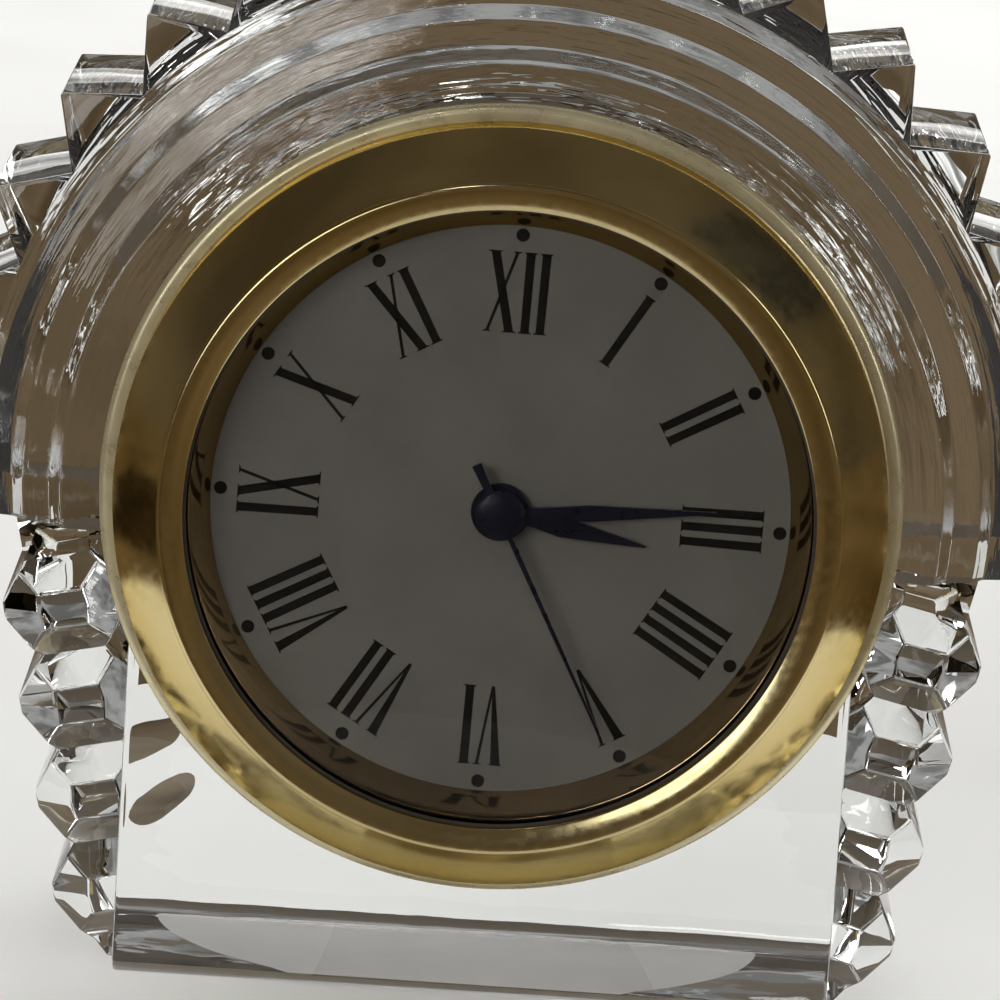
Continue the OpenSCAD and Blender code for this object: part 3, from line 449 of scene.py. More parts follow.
# Painted shade: a near-black patch at the left, which only the gold mirrors, darkens the left of the bezel.
gold_patch("dark_patch_painted_shade", (0.062, 0.045), (-0.150, 0.035), (0.012, 0.008, 0.004), (0.03, 0.02, 0.01), 20.0)
window_card("card_right", [(0.345, 0.045, 0.001), (0.345, 0.075, 0.001), (0.345, 0.075, 0.32),
                           (0.345, 0.045, 0.32)], 9.0, 0.15, 22.0, False)
window_card("card_left", [(-0.345, 0.05, 0.001), (-0.345, 0.07, 0.001), (-0.345, 0.07, 0.30),
                          (-0.345, 0.05, 0.30)], 7.0, 0.1, 26.0, False)
window_card("card_over", [(-0.85, -0.015, 0.90), (0.85, -0.015, 0.90), (0.85, 0.025, 0.90),
                          (-0.85, 0.025, 0.90)], 9.0, 0.1, 12.0, False)
window_card("card_spot", [(-0.21, -0.52, 0.74), (-0.11, -0.52, 0.74), (-0.11, -0.48, 0.77),
                          (-0.21, -0.48, 0.77)], 14.0)
window_card("card_back", [(-1.1, 1.15, 0.40), (1.1, 1.15, 0.40), (1.1, 0.85, 1.15),
                          (-1.1, 0.85, 1.15)], 0.34, 0.4)
window_glow = window_card("window_glow", [(-0.62, -0.69, 0.08), (-0.18, -0.91, 0.08), (-0.18, -0.91, 0.42),
                                          (-0.62, -0.69, 0.42)], 3.2, 0.3, 12.0)
window_glow.visible_transmission = False
sheen = window_card("card_sheen", [(-1.2, 1.0, 0.12), (0.3, 1.0, 0.12), (0.3, 1.0, 0.42),
                                   (-1.2, 1.0, 0.42)], 2.2, 0.3, 7.0)
sheen.visible_transmission = False
# Painted shade: a dim card at the back right, seen only in reflections, darkens the upper right of the bezel.
dark_reflection_card = window_card("dark_reflection_card", [(0.75, 0.05, 0.45), (0.95, 0.65, 0.45), (0.95, 0.65, 1.15),
                                          (0.75, 0.05, 1.15)], 0.045, 0.5, 3.0)
dark_reflection_card.visible_transmission = False
window_card("card_teeth", [(-1.05, 0.25, 0.35), (-0.55, 0.85, 0.35), (-0.55, 0.85, 0.75),
                           (-1.05, 0.25, 0.75)], 1.4, 0.1, 9.0, False)
print("room and lamps ready")

# %% [markdown]
# The photograph is taken from close by, a little above the dial, with the camera level
# turned by three degrees. A long lens at that distance gives the same drawing.

# %% Camera
VIEW_DISTANCE = 0.400
VIEW_DOWN = 12.7
VIEW_ROLL = 3.8
LENS = 231.6

camera_data = bpy.data.cameras.new("photo_camera")
camera_data.lens = LENS
camera_data.sensor_width = 36
camera_data.clip_start = 0.01
camera = bpy.data.objects.new("photo_camera", camera_data)
bpy.context.scene.collection.objects.link(camera)
bpy.context.scene.camera = camera
rim_centre = at(0, 0, 0.6)
back = Vector((0, -cos(radians(VIEW_DOWN)), sin(radians(VIEW_DOWN))))
turn = (-back).to_track_quat("-Z", "Y").to_matrix() @ Matrix.Rotation(radians(VIEW_ROLL), 3, "Z")
right, up = turn.col[0], turn.col[1]
px = VIEW_DISTANCE / (LENS / 36 * 1000)
aim = rim_centre - right * 0.8 * px + up * 1.5 * px
camera.matrix_world = Matrix.Translation(aim + back * VIEW_DISTANCE) @ turn.to_4x4()
print("camera at", tuple(round(v, 4) for v in camera.location))

# %% [markdown]
# ## The crystal
#
# The crystal is pressed glass with cut facets. Its shape follows a rule: sixteen teeth stand
# round an arch of three stepped rings, and four faceted beads make a column at each side of
# a plain block. One tooth and one bead are cut as solids with eased edges, Geometry Nodes
# set them out, and exact booleans join everything into one closed body of glass. Glass must
# be one closed body, because light bends at every face that it crosses.

# %% Sizes of the crystal
LAND_R = 27.5
STEP_W = 2.45
STEP_DROP = 1.5
BEVEL_W = 0.8
BEVEL_DROP = 1.1
TOOTH_TIP_R = 37.0
TOOTH_CUT = 3.7
TOOTH_PITCH = 11.5
ARCH_TEETH = 16
BORDER_FRONT = -2 * STEP_DROP - BEVEL_DROP - 0.9
BORDER_BACK = BORDER_FRONT - 16.0
RINGS_END = 3.7
BACK_LAND_R = 29.0
BLOCK_HALF = 22.7
BLOCK_BACK = 3.0 - CRYSTAL_DEPTH
COLUMN_X = 22.0
COLUMN_LEAN = 12.4
BEADS = 4
BEAD_H = 6.25
COLUMN_W = 8.0
FOOT_H = 1.65


# %% [markdown]
# A Geometry Nodes tree takes one form and sets out copies of it. The tooth tree turns each
# copy round the dial's axis by one pitch. The bead tree stacks copies up a leaning line and
# does so on both sides. Each tree has named inputs, and ends by making the copies real.


# %% Trees that set out teeth, beads and dots
def start_tree(name, sizes):
    tree = bpy.data.node_groups.new(name, "GeometryNodeTree")
    tree.interface.new_socket("Geometry", in_out="INPUT", socket_type="NodeSocketGeometry")
    for label, kind, value in sizes:
        socket = tree.interface.new_socket(label, in_out="INPUT", socket_type=kind)
        socket.default_value = value
    tree.interface.new_socket("Material", in_out="INPUT", socket_type="NodeSocketMaterial")
    tree.interface.new_socket("Geometry", in_out="OUTPUT", socket_type="NodeSocketGeometry")
    return tree, tree.nodes.new("NodeGroupInput"), tree.nodes.new("NodeGroupOutput")


def math_node(tree, operation, a, b):
    node = tree.nodes.new("ShaderNodeMath")
    node.operation = operation
    for k, value in enumerate((a, b)):
        if isinstance(value, (int, float)):
            node.inputs[k].default_value = value
        else:
            tree.links.new(value, node.inputs[k])
    return node.outputs[0]


def vector_node(tree, x=0.0, y=0.0, z=0.0):
    node = tree.nodes.new("ShaderNodeCombineXYZ")
    for k, value in enumerate((x, y, z)):
        if isinstance(value, (int, float)):
            node.inputs[k].default_value = value
        else:
            tree.links.new(value, node.inputs[k])
    return node.outputs[0]


def ring_tree(name):
    """Copies of a form round the dial's axis, the first at First Angle."""
    tree, given, made = start_tree(name, [("Count", "NodeSocketInt", 12),
                                          ("Pitch", "NodeSocketFloat", 30.0),
                                          ("First Angle", "NodeSocketFloat", 0.0),
                                          ("Axis Height", "NodeSocketFloat", 0.0325)])
    links = tree.links
    line = tree.nodes.new("GeometryNodeMeshLine")
    links.new(given.outputs["Count"], line.inputs["Count"])
    line.inputs["Offset"].default_value = (0, 0, 0)
    index = tree.nodes.new("GeometryNodeInputIndex").outputs[0]
    angle = math_node(tree, "ADD", math_node(tree, "MULTIPLY", index, given.outputs["Pitch"]),
                      given.outputs["First Angle"])
    angle = math_node(tree, "RADIANS", angle, 0)
    copy = tree.nodes.new("GeometryNodeInstanceOnPoints")
    links.new(line.outputs["Mesh"], copy.inputs["Points"])
    links.new(given.outputs["Geometry"], copy.inputs["Instance"])
    links.new(vector_node(tree, y=angle), copy.inputs["Rotation"])
    return end_tree(tree, given, made, copy.outputs["Instances"],
                    vector_node(tree, z=given.outputs["Axis Height"]))


def end_tree(tree, given, made, copies, shift):
    links = tree.links
    move = tree.nodes.new("GeometryNodeTransform")
    links.new(copies, move.inputs["Geometry"])
    links.new(shift, move.inputs["Translation"])
    real = tree.nodes.new("GeometryNodeRealizeInstances")
    links.new(move.outputs["Geometry"], real.inputs["Geometry"])
    paint = tree.nodes.new("GeometryNodeSetMaterial")
    links.new(real.outputs["Geometry"], paint.inputs["Geometry"])
    links.new(given.outputs["Material"], paint.inputs["Material"])
    links.new(paint.outputs["Geometry"], made.inputs["Geometry"])
    return tree


def columns_tree(name):
    """A stack of one form up a leaning line, on the right and on the left."""
    tree, given, made = start_tree(name, [("Beads", "NodeSocketInt", 4),
                                          ("Bead Height", "NodeSocketFloat", 0.006),
                                          ("Foot Height", "NodeSocketFloat", 0.0016),
                                          ("Lean", "NodeSocketFloat", 12.0),
                                          ("Column X", "NodeSocketFloat", 0.022)])
    links = tree.links
    line = tree.nodes.new("GeometryNodeMeshLine")
    links.new(given.outputs["Beads"], line.inputs["Count"])
    links.new(vector_node(tree, z=given.outputs["Bead Height"]), line.inputs["Offset"])
    first = math_node(tree, "ADD", math_node(tree, "MULTIPLY", given.outputs["Bead Height"], 0.5),
                      given.outputs["Foot Height"])
    links.new(vector_node(tree, z=first), line.inputs["Start Location"])
    stack = tree.nodes.new("GeometryNodeInstanceOnPoints")
    links.new(line.outputs["Mesh"], stack.inputs["Points"])
    links.new(given.outputs["Geometry"], stack.inputs["Instance"])
    both = tree.nodes.new("GeometryNodeJoinGeometry")
    lean = math_node(tree, "RADIANS", given.outputs["Lean"], 0)
    for side in (1, -1):
        move = tree.nodes.new("GeometryNodeTransform")
        links.new(stack.outputs["Instances"], move.inputs["Geometry"])
        links.new(vector_node(tree, y=math_node(tree, "MULTIPLY", lean, side)),
                  move.inputs["Rotation"])
        links.new(vector_node(tree, x=math_node(tree, "MULTIPLY", given.outputs["Column X"], side)),
                  move.inputs["Translation"])
        links.new(move.outputs["Geometry"], both.inputs["Geometry"])
    return end_tree(tree, given, made, both.outputs["Geometry"], vector_node(tree))


def grow(form, tree, values, name, smooth=30):
    """Runs the tree on a form and keeps the result as a plain mesh."""
    modifier = form.modifiers.new("set_out", "NODES")
    modifier.node_group = tree
    for item in tree.interface.items_tree:
        if item.in_out == "INPUT" and item.name in values:
            modifier[item.identifier] = values[item.name]
    view = bpy.context.evaluated_depsgraph_get()
    view.update()
    mesh = bpy.data.meshes.new_from_object(form.evaluated_get(view))
    form.modifiers.remove(modifier)
    bpy.data.objects.remove(form)
    piece = bpy.data.objects.new(name, mesh)
    mesh.name = name
    bpy.context.scene.collection.objects.link(piece)
    soften(piece, smooth)
    print(name, "has", len(mesh.polygons), "faces")
    return piece


# %% [markdown]
# A form is cut from a block by planes, as a cutter grinds facets. Each cut leaves a flat
# face, and a narrow bevel then eases the edges, because glass edges are never razor sharp
# and an eased edge is what catches the light.


# %% Cutting a form by planes
def cut_form(name, planes, size=60.0, bevel=0.2):
    """A convex form: planes are (point, outward direction) in millimetres, free of place."""
    bm = bmesh.new()
    bmesh.ops.create_cube(bm, size=size)
    for point, outward in planes:
        geom = bm.verts[:] + bm.edges[:] + bm.faces[:]
        cut = bmesh.ops.bisect_plane(bm, geom=geom, plane_co=Vector(point),
                                     plane_no=Vector(outward).normalized(), clear_outer=True)
        rim = [e for e in cut["geom_cut"] if isinstance(e, bmesh.types.BMEdge)]
        if rim:
            bmesh.ops.contextual_create(bm, geom=rim)
    bmesh.ops.remove_doubles(bm, verts=bm.verts, dist=0.001)
    bmesh.ops.dissolve_limit(bm, angle_limit=radians(1), verts=bm.verts, edges=bm.edges)
    if bevel:
        bmesh.ops.bevel(bm, geom=bm.edges[:], offset=bevel, segments=2, profile=0.55,
                        affect="EDGES", clamp_overlap=True)
    bmesh.ops.scale(bm, vec=(MM, MM, MM), verts=bm.verts)
    return new_piece(name, bm, 25)


def tooth_form():
    """One tooth at the top of the arch: a ridge across the crystal's depth."""
    half = radians(TOOTH_PITCH / 2)
    tip = Vector((0, 0, TOOTH_TIP_R))
    valley = Vector((sin(half), 0, cos(half))) * (TOOTH_TIP_R - TOOTH_CUT)
    side = (tip - valley)
    outward = Vector((-side.z, 0, side.x))
    outward = outward if outward.x > 0 else -outward
    flat_tip = 0.22
    return cut_form("tooth_form", [
        ((valley.x, 0, valley.z), outward),
        ((-valley.x, 0, valley.z), (-outward.x, 0, outward.z)),
        ((0, 0, TOOTH_TIP_R - flat_tip * 0.5), (0, 0, 1)),
        ((0, 0, 30.5), (0, 0, -1)),
        ((0, FACE_Y - BORDER_FRONT, 0), (0, -1, 0)),
        ((0, FACE_Y - BORDER_BACK, 0), (0, 1, 0))], size=80, bevel=0.28)


def bead_form():
    """One bead, centred on its own middle: flat tips, sloped cuts and slanted corners."""
    half_h, half_w, half_d = BEAD_H / 2, COLUMN_W / 2, (-2.4 - (BLOCK_BACK + 1)) / 2
    middle = FACE_Y - (-2.4 + BLOCK_BACK + 1) / 2
    planes = []
    for s in (1, -1):
        planes.append(((s * half_w, 0, 0), (s, 0, 0)))
        planes.append(((0, middle + s * half_d, 0), (0, s, 0)))
        planes.append(((0, 0, s * (half_h + 0.9)), (0, 0, s)))
        for t in (1, -1):
            rise = half_h - 0.6
            planes.append(((s * half_w, 0, t * 0.6), (s * rise, 0, t * 1.9)))
            rise = half_h - 1.2
            planes.append(((0, middle + s * half_d, t * 1.2), (0, s * rise, t * 1.8)))
            for up in (1, -1):
                planes.append(((t * 1.6, middle + s * half_d, 0),
                               (t * 2.2, s * (half_w - 1.6), up * 0.35)))
    return cut_form("bead_form", planes, bevel=0.2)


glass_slot = start_material("clear_crystal")
ring_of = ring_tree("set_out_on_ring")
teeth = grow(tooth_form(), ring_of, {"Count": ARCH_TEETH, "Pitch": TOOTH_PITCH,
             "First Angle": -(ARCH_TEETH - 1) * TOOTH_PITCH / 2,
             "Axis Height": AXIS_HEIGHT * MM, "Material": glass_slot[0]}, "teeth")
beads = grow(bead_form(), columns_tree("set_out_in_columns"), {
    "Beads": BEADS, "Bead Height": BEAD_H * MM, "Foot Height": FOOT_H * MM,
    "Lean": COLUMN_LEAN, "Column X": COLUMN_X * MM, "Material": glass_slot[0]}, "beads")

# %% [markdown]
# The arch of rings is spun from its front profile, with soft ridges and valleys, and cut off
# below the axis. The block and the webs that join the columns to it are plain solids with
# eased edges, and the columns' ends are plain solids.


# %% Rings, block, webs and column ends
def arch_rings():
    outer = LAND_R + 2 * STEP_W + BEVEL_W
    profile = [(0, 0)]
    easing = [0]
    for k in range(3):
        profile += [(LAND_R + k * STEP_W, -k * STEP_DROP),
                    (LAND_R + k * STEP_W + BEVEL_W, -k * STEP_DROP - BEVEL_DROP)]
        easing += [0.5, 0.4 if k < 2 else 0.0]
    profile += [(outer, BORDER_BACK), (BACK_LAND_R, -CRYSTAL_DEPTH), (0, -CRYSTAL_DEPTH)]
    easing += [0.6, 0.6, 0]
    return spun("arch_rings", rounded(profile, easing), sides=240)


def box_form(name, low, high, bevel):
    bm = bmesh.new()
    bmesh.ops.create_cube(bm, size=1.0)
    for v in bm.verts:
        v.co = Vector([low[i] if v.co[i] < 0 else high[i] for i in range(3)]) * MM
    if bevel:
        bmesh.ops.bevel(bm, geom=bm.edges[:], offset=bevel * MM, segments=3, profile=0.6,
                        affect="EDGES")
    return new_piece(name, bm)


def block_form():
    foot = [(-BLOCK_HALF, 0.0), (BLOCK_HALF, 0.0)]
    front, rear = FACE_Y + 0.03, FACE_Y - BLOCK_BACK
    planes = [((BLOCK_HALF, 0, 0), (1, 0, 0)), ((-BLOCK_HALF, 0, 0), (-1, 0, 0)),
              ((0, front, 0), (0, -1, 0)), ((0, rear, 0), (0, 1, 0)),
              ((0, 0, AXIS_HEIGHT), (0, 0, 1)), ((0, 0, 0), (0, 0, -1)),
              ((0, front, 0.9), (0, -1, -1)), ((0, rear, 0.9), (0, 1, -1))]
    return cut_form("block", planes, size=120, bevel=0.3)


def web_form():
    lean = AXIS_HEIGHT * tan(radians(COLUMN_LEAN))
    outline = [(-COLUMN_X, -AXIS_HEIGHT - 1), (-COLUMN_X - lean, 0), (COLUMN_X + lean, 0),
               (COLUMN_X, -AXIS_HEIGHT - 1)]
    return slab("web", outline, BORDER_BACK + 0.2, -5.4, 0.2)


def column_end(name, side, low, high, half_low, half_high, reach):
    """A straight or tapering stretch of a column, in the column's own leaning frame."""
    lean = radians(COLUMN_LEAN) * side
    turn_by = Matrix.Rotation(lean, 4, "Y")
    bm = bmesh.new()
    front, rear = FACE_Y + 2.4 + reach, FACE_Y - (BLOCK_BACK + 1) - reach
    verts = []
    for z, half in ((low, half_low), (high, half_high)):
        for x, y in ((-half, front), (half, front), (half, rear), (-half, rear)):
            p = turn_by @ Vector((x, y, z + FOOT_H))
            verts.append(bm.verts.new(Vector((p.x + COLUMN_X * side, p.y, p.z)) * MM))
    for ring in ((0, 1, 2, 3), (7, 6, 5, 4), (0, 4, 5, 1), (1, 5, 6, 2), (2, 6, 7, 3), (3, 7, 4, 0)):
        bm.faces.new([verts[i] for i in ring])
    return new_piece(name, bm)


rings = arch_rings()
half_space = box_form("upper_half", (-60, -60, AXIS_HEIGHT - RINGS_END), (60, 60, 120), 0)
block = block_form()
web = web_form()
ends = []
for side in (1, -1):
    ends.append(column_end("column_neck", side, BEADS * BEAD_H - 0.8, BEADS * BEAD_H + 4, 2.1, 2.1, 1.8))
    ends.append(column_end("column_foot", side, -FOOT_H - 1.0, 0.4, 0.5, 2.1, 1.8))
print("crystal forms ready")


# %% Join the crystal into one body
def joined(base, tool, how, tidy=True):
    modifier = base.modifiers.new("join", "BOOLEAN")
    modifier.operation = how
    modifier.solver = "MANIFOLD"
    modifier.object = tool
    view = bpy.context.evaluated_depsgraph_get()
    view.update()
    mesh = bpy.data.meshes.new_from_object(base.evaluated_get(view))
    base.modifiers.remove(modifier)
    base.data = mesh
    if tidy:
        bpy.data.objects.remove(tool)


def loose_forms(piece):
    """The copies in a mesh as pieces of their own, so that each is joined by itself."""
    bm = bmesh.new()
    bm.from_mesh(piece.data)
    left, parts = set(bm.faces), []
    while left:
        ring, found = [left.pop()], []
        while ring:
            face = ring.pop()
            found.append(face)
            for near in (f for e in face.edges for f in e.link_faces if f in left):
                left.discard(near)
                ring.append(near)
        part = bmesh.new()
        made = {v: part.verts.new(v.co) for v in {v for f in found for v in f.verts}}
        for face in found:
            part.faces.new([made[v] for v in face.verts])
        parts.append(new_piece(piece.name + "_part", part))
    bm.free()
    bpy.data.objects.remove(piece)
    return parts


joined(rings, half_space, "INTERSECT")
for form in loose_forms(teeth) + [block, web] + loose_forms(beads) + ends:
    joined(rings, form, "UNION")
bore = spun("bore", [(0, 2), (BORE_R, 2), (BORE_R, -CRYSTAL_DEPTH + 0.35),
                     (BORE_R + 0.5, -CRYSTAL_DEPTH - 0.15), (BORE_R + 0.5, -CRYSTAL_DEPTH - 2),
                     (0, -CRYSTAL_DEPTH - 2)], sides=240)
joined(rings, bore, "DIFFERENCE")
joined(rings, box_form("under_table", (-60, -60, -60), (60, 60, 0), 0), "DIFFERENCE")
crystal = rings
crystal.name = crystal.data.name = "cut_crystal"
soften(crystal, 28)
loose = bmesh.new()
loose.from_mesh(crystal.data)
print("crystal:", len(crystal.data.polygons), "faces, open edges:",
      sum(1 for e in loose.edges if len(e.link_faces) != 2))
loose.free()


# %% [markdown]
# Lead crystal bends light strongly. Pressed glass also keeps a slight waviness from the
# mould, which pulls highlights into streaks, so a slow bump bends them a little. Glass in
# Cycles throws a dark shadow unless lamps may pass, so shadow rays see it as clear.


# %% Glass finishes
def ring_lines(nodes, links, place):
    """Noise drawn out round the dial's axis, on the rings only, as a worn mould leaves it."""
    split = nodes.new("ShaderNodeSeparateXYZ")
    links.new(place.outputs["Object"], split.inputs[0])

    def sum_of(operation, *values):
        node = nodes.new("ShaderNodeMath")
        node.operation = operation
        for k, value in enumerate(values):
            if isinstance(value, (int, float)):
                node.inputs[k].default_value = value
            else:
                links.new(value, node.inputs[k])
        return node.outputs[0]

    across, rise = split.outputs["X"], sum_of("SUBTRACT", split.outputs["Z"], AXIS_HEIGHT * MM)
    radius = sum_of("SQRT", sum_of("ADD", sum_of("MULTIPLY", across, across),
                                   sum_of("MULTIPLY", rise, rise)))
    angle = sum_of("ARCTAN2", across, rise)
    spread = nodes.new("ShaderNodeCombineXYZ")
    links.new(sum_of("MULTIPLY", radius, 2000), spread.inputs[0])
    links.new(sum_of("MULTIPLY", angle, 5), spread.inputs[1])
    links.new(sum_of("MULTIPLY", split.outputs["Y"], 60), spread.inputs[2])
    texture = nodes.new("ShaderNodeTexNoise")
    texture.inputs["Scale"].default_value = 1.0
    texture.inputs["Detail"].default_value = 2.0
    links.new(spread.outputs[0], texture.inputs["Vector"])
    inside = sum_of("MULTIPLY", sum_of("GREATER_THAN", rise, -RINGS_END * MM),
                    sum_of("LESS_THAN", radius, 33.2 * MM))
    return sum_of("MULTIPLY", texture.outputs["Fac"], inside)


def ground_foot(nodes, links, place):
    """1 inside an oval on the underside, which is ground and not polished, 0 elsewhere."""
    mapping = nodes.new("ShaderNodeMapping")
    mapping.inputs["Location"].default_value = (0.001 / 0.0185, -0.0144 / 0.023, 0)
    mapping.inputs["Scale"].default_value = (1 / 0.0185, 1 / 0.023, 5000)
    links.new(place.outputs["Object"], mapping.inputs["Vector"])
    length = nodes.new("ShaderNodeVectorMath")
    length.operation = "LENGTH"
    links.new(mapping.outputs["Vector"], length.inputs[0])
    inside = nodes.new("ShaderNodeMath")
    inside.operation = "LESS_THAN"
    inside.inputs[1].default_value = 1.0
    links.new(length.outputs["Value"], inside.inputs[0])
    return inside.outputs[0]


def glass(parts, tint, rough, ior, waves, wave_size, clear=0.9, lines=0.0):
    material, nodes, links, out, shader, place = parts
    shader.inputs["Base Color"].default_value = (*tint, 1)
    shader.inputs["Transmission Weight"].default_value = 1.0
    shader.inputs["IOR"].default_value = ior
    slow = noise(nodes, links, place, wave_size, 2.0)
    fine = noise(nodes, links, place, wave_size * 5, 1.0)
    roughness = between(nodes, links, fine, rough * 0.5, rough * 1.5)
    if lines:
        ground = nodes.new("ShaderNodeMath")
        ground.operation = "MULTIPLY_ADD"
        links.new(ground_foot(nodes, links, place), ground.inputs[0])
        ground.inputs[1].default_value = 0.6
        links.new(roughness, ground.inputs[2])
        roughness = ground.outputs[0]
    links.new(roughness, shader.inputs["Roughness"])
    heights = [(slow, waves), (fine, waves * 0.08)]
    if lines:
        heights.append((ring_lines(nodes, links, place), lines))
    bump(nodes, links, shader, heights, 0.001)
    through = nodes.new("ShaderNodeBsdfTransparent")
    through.inputs["Color"].default_value = (clear, clear, clear, 1)
    path = nodes.new("ShaderNodeLightPath")
    mix = nodes.new("ShaderNodeMixShader")
    links.new(path.outputs["Is Shadow Ray"], mix.inputs["Fac"])
    links.new(shader.outputs["BSDF"], mix.inputs[1])
    links.new(through.outputs["BSDF"], mix.inputs[2])
    links.new(mix.outputs["Shader"], out.inputs["Surface"])
    return material


crystal.data.materials.clear()
crystal.data.materials.append(glass(glass_slot, (0.99, 1.0, 0.995), 0.010, 1.54, 0.09, 90, lines=0.08))
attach(crystal, "glass")
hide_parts("crystal_body")

# %% [markdown]
# ## Gold bezel
#
# The bezel is a spun brass cap: a narrow rolled rim, a flat slope up to a rounded crest, and
# a small ledge down to the lens. It is lacquered gold, worn and pitted on the rim, with hairline scratches. Streaky
# noise at two angles makes the scratches, and a coarse grain pits the rim.

# %% Bezel profile
CREST_R = 20.85
DOME_R = 24.0
WALL_H = 3.3
CREST_ROUND = 0.30
LEDGE_W = 0.8
BEZEL_H = 6.9
LIP_R = 19.45
SEAT_R = 20.75
GASKET_TOP = 6.2
RIM_T = 1.2


def bezel_profile():
    points = [(SEAT_R, 0.0), (BEZEL_R - 0.1, 0.0), (BEZEL_R, 0.25)]
    for k in range(9):
        a = -40 + 130 * k / 8
        points.append((BEZEL_R - 0.45 + 0.45 * cos(radians(a)), RIM_T - 0.45 + 0.45 * sin(radians(a))))
    points += [(DOME_R + 0.12, RIM_T - 0.03), (DOME_R + 0.03, RIM_T + 0.05),
               (DOME_R, WALL_H - 0.15), (DOME_R - 0.05, WALL_H + 0.05)]
    for k in range(9):
        a = 90 * k / 8
        points.append((CREST_R + CREST_ROUND * cos(radians(a)),
                       BEZEL_H - CREST_ROUND * (1 - sin(radians(a)))))
    points += [(CREST_R - 0.2, BEZEL_H - 0.02), (CREST_R - 0.45, BEZEL_H - 0.06),
               (LIP_R + 0.10, BEZEL_H - 0.20), (LIP_R, BEZEL_H - 0.27),
               (LIP_R, GASKET_TOP), (SEAT_R, GASKET_TOP)]
    return points


def gold(name, tone_a, tone_b, rough, pits, scratch, pit_size=1500, metal=1.0):
    material, nodes, links, out, shader, place = start_material(name)
    blotch = noise(nodes, links, place, 90, 3.0)
    grain = noise(nodes, links, place, pit_size, 3.0)
    hair_one = noise(nodes, links, place, 420, 2.0, (0.07, 1, 2.6), (0, radians(35), 0))
    hair_two = noise(nodes, links, place, 420, 2.0, (2.6, 1, 0.06), (0, radians(-20), 0))
    links.new(ramp(nodes, links, blotch, (*tone_a, 1), (*tone_b, 1)), shader.inputs["Base Color"])
    links.new(between(nodes, links, grain, *rough), shader.inputs["Roughness"])
    shader.inputs["Metallic"].default_value = metal
    shader.inputs["Specular Tint"].default_value = (0.80, 0.62, 0.30, 1)
    bump(nodes, links, shader, [(hair_one, scratch), (hair_two, scratch * 0.8), (grain, pits)],
         0.00002)
    return material


bezel = spun("gold_bezel", bezel_profile(), sides=256)
bezel.data.materials.append(gold("bezel_gold", (0.70, 0.57, 0.28), (0.82, 0.70, 0.40),
                                 (0.10, 0.2), 0.06, 0.10))
bezel.data.materials.append(gold("bezel_rim_gold", (0.60, 0.53, 0.34), (0.80, 0.73, 0.50),
                                 (0.22, 0.42), 0.9, 0.2, 900, 0.8))
for face in bezel.data.polygons:
    middle = face.center / MM
    if hypot(middle.x, middle.z - AXIS_HEIGHT) > DOME_R and FACE_Y - middle.y < RIM_T + 0.3:
        face.material_index = 1
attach(bezel, "insert")
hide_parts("bezel")
print("bezel:", len(bezel.data.polygons), "faces")

# %% [markdown]
# Inside the bezel a thin dark gasket holds a flat lens, and a bright cone of gold foil closes
# the gap between lens and dial. The cone is a mirror: it repeats the dots and numerals.

# %% Gasket, lens and mirror ring
LENS_TOP = 6.0
LENS_BACK = 5.2
REFLECTOR_R = 19.15
WINDOW_R = 17.85

gasket = spun("dark_gasket", rounded([(SEAT_R - 0.05, LENS_TOP), (LIP_R - 0.18, LENS_TOP),
              (LIP_R - 0.18, GASKET_TOP), (SEAT_R - 0.05, GASKET_TOP)], 0.04, 3), sides=192)
gasket.data.materials.append(finish("gasket_rubber", (0.012, 0.010, 0.008), (0.03, 0.024, 0.018),
                                    rough=(0.4, 0.6), grain=2500))
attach(gasket, "insert")
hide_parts("lens_gasket")

lens = spun("clear_lens", rounded([(0, LENS_BACK), (SEAT_R - 0.05, LENS_BACK),
            (SEAT_R - 0.05, LENS_TOP), (0, LENS_TOP)], [0, 0.08, 0.08, 0], 3), sides=192)
lens.data.materials.append(glass(start_material("lens_plastic"), (0.97, 0.97, 0.95), 0.012, 1.2,
                                 0.004, 60, 0.92))
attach(lens, "insert")
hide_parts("lens")

mirror = spun("mirror_ring", rounded([(WINDOW_R, DIAL_TOP), (SEAT_R - 0.05, DIAL_TOP),
              (SEAT_R - 0.05, LENS_BACK), (REFLECTOR_R, LENS_BACK),
              (WINDOW_R, DIAL_TOP + 0.1)], [0, 0.03, 0.03, 0.06, 0.03], 3), sides=256)
mirror.data.materials.append(gold("mirror_gold", (0.40, 0.29, 0.16), (0.48, 0.35, 0.20),
                                  (0.03, 0.08), 0.03, 0.02))
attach(mirror, "insert")
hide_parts("reflector_ring")
print("window radius", WINDOW_R)

# %% [markdown]
# ## Dial and print
#
# The dial is a matt painted disc. Its print is made of very thin raised ink: strokes for the
# numerals, with small serifs, and twelve dots set out by Geometry Nodes. Each numeral stands
# with its feet towards the centre. The print sits a little clockwise of the crystal's
# upright, because the insert was pressed in slightly turned.

# %% Dial and numerals
PRINT_TURN = 0.95
PRINT_TOP = DIAL_TOP + 0.02
FEET_R = 11.15
HEADS_R = 16.2
THICK = 0.56
THIN = 0.2
GAP = 0.42
NUMERALS = {0: "XII", 1: "I", 2: "II", 3: "III", 4: "IIII", 5: "V", 6: "VI", 7: "VII",
            8: "VIII", 9: "IX", 10: "X", 11: "XI"}
WIDTHS = {"I": THICK, "V": 1.55, "X": 1.75}


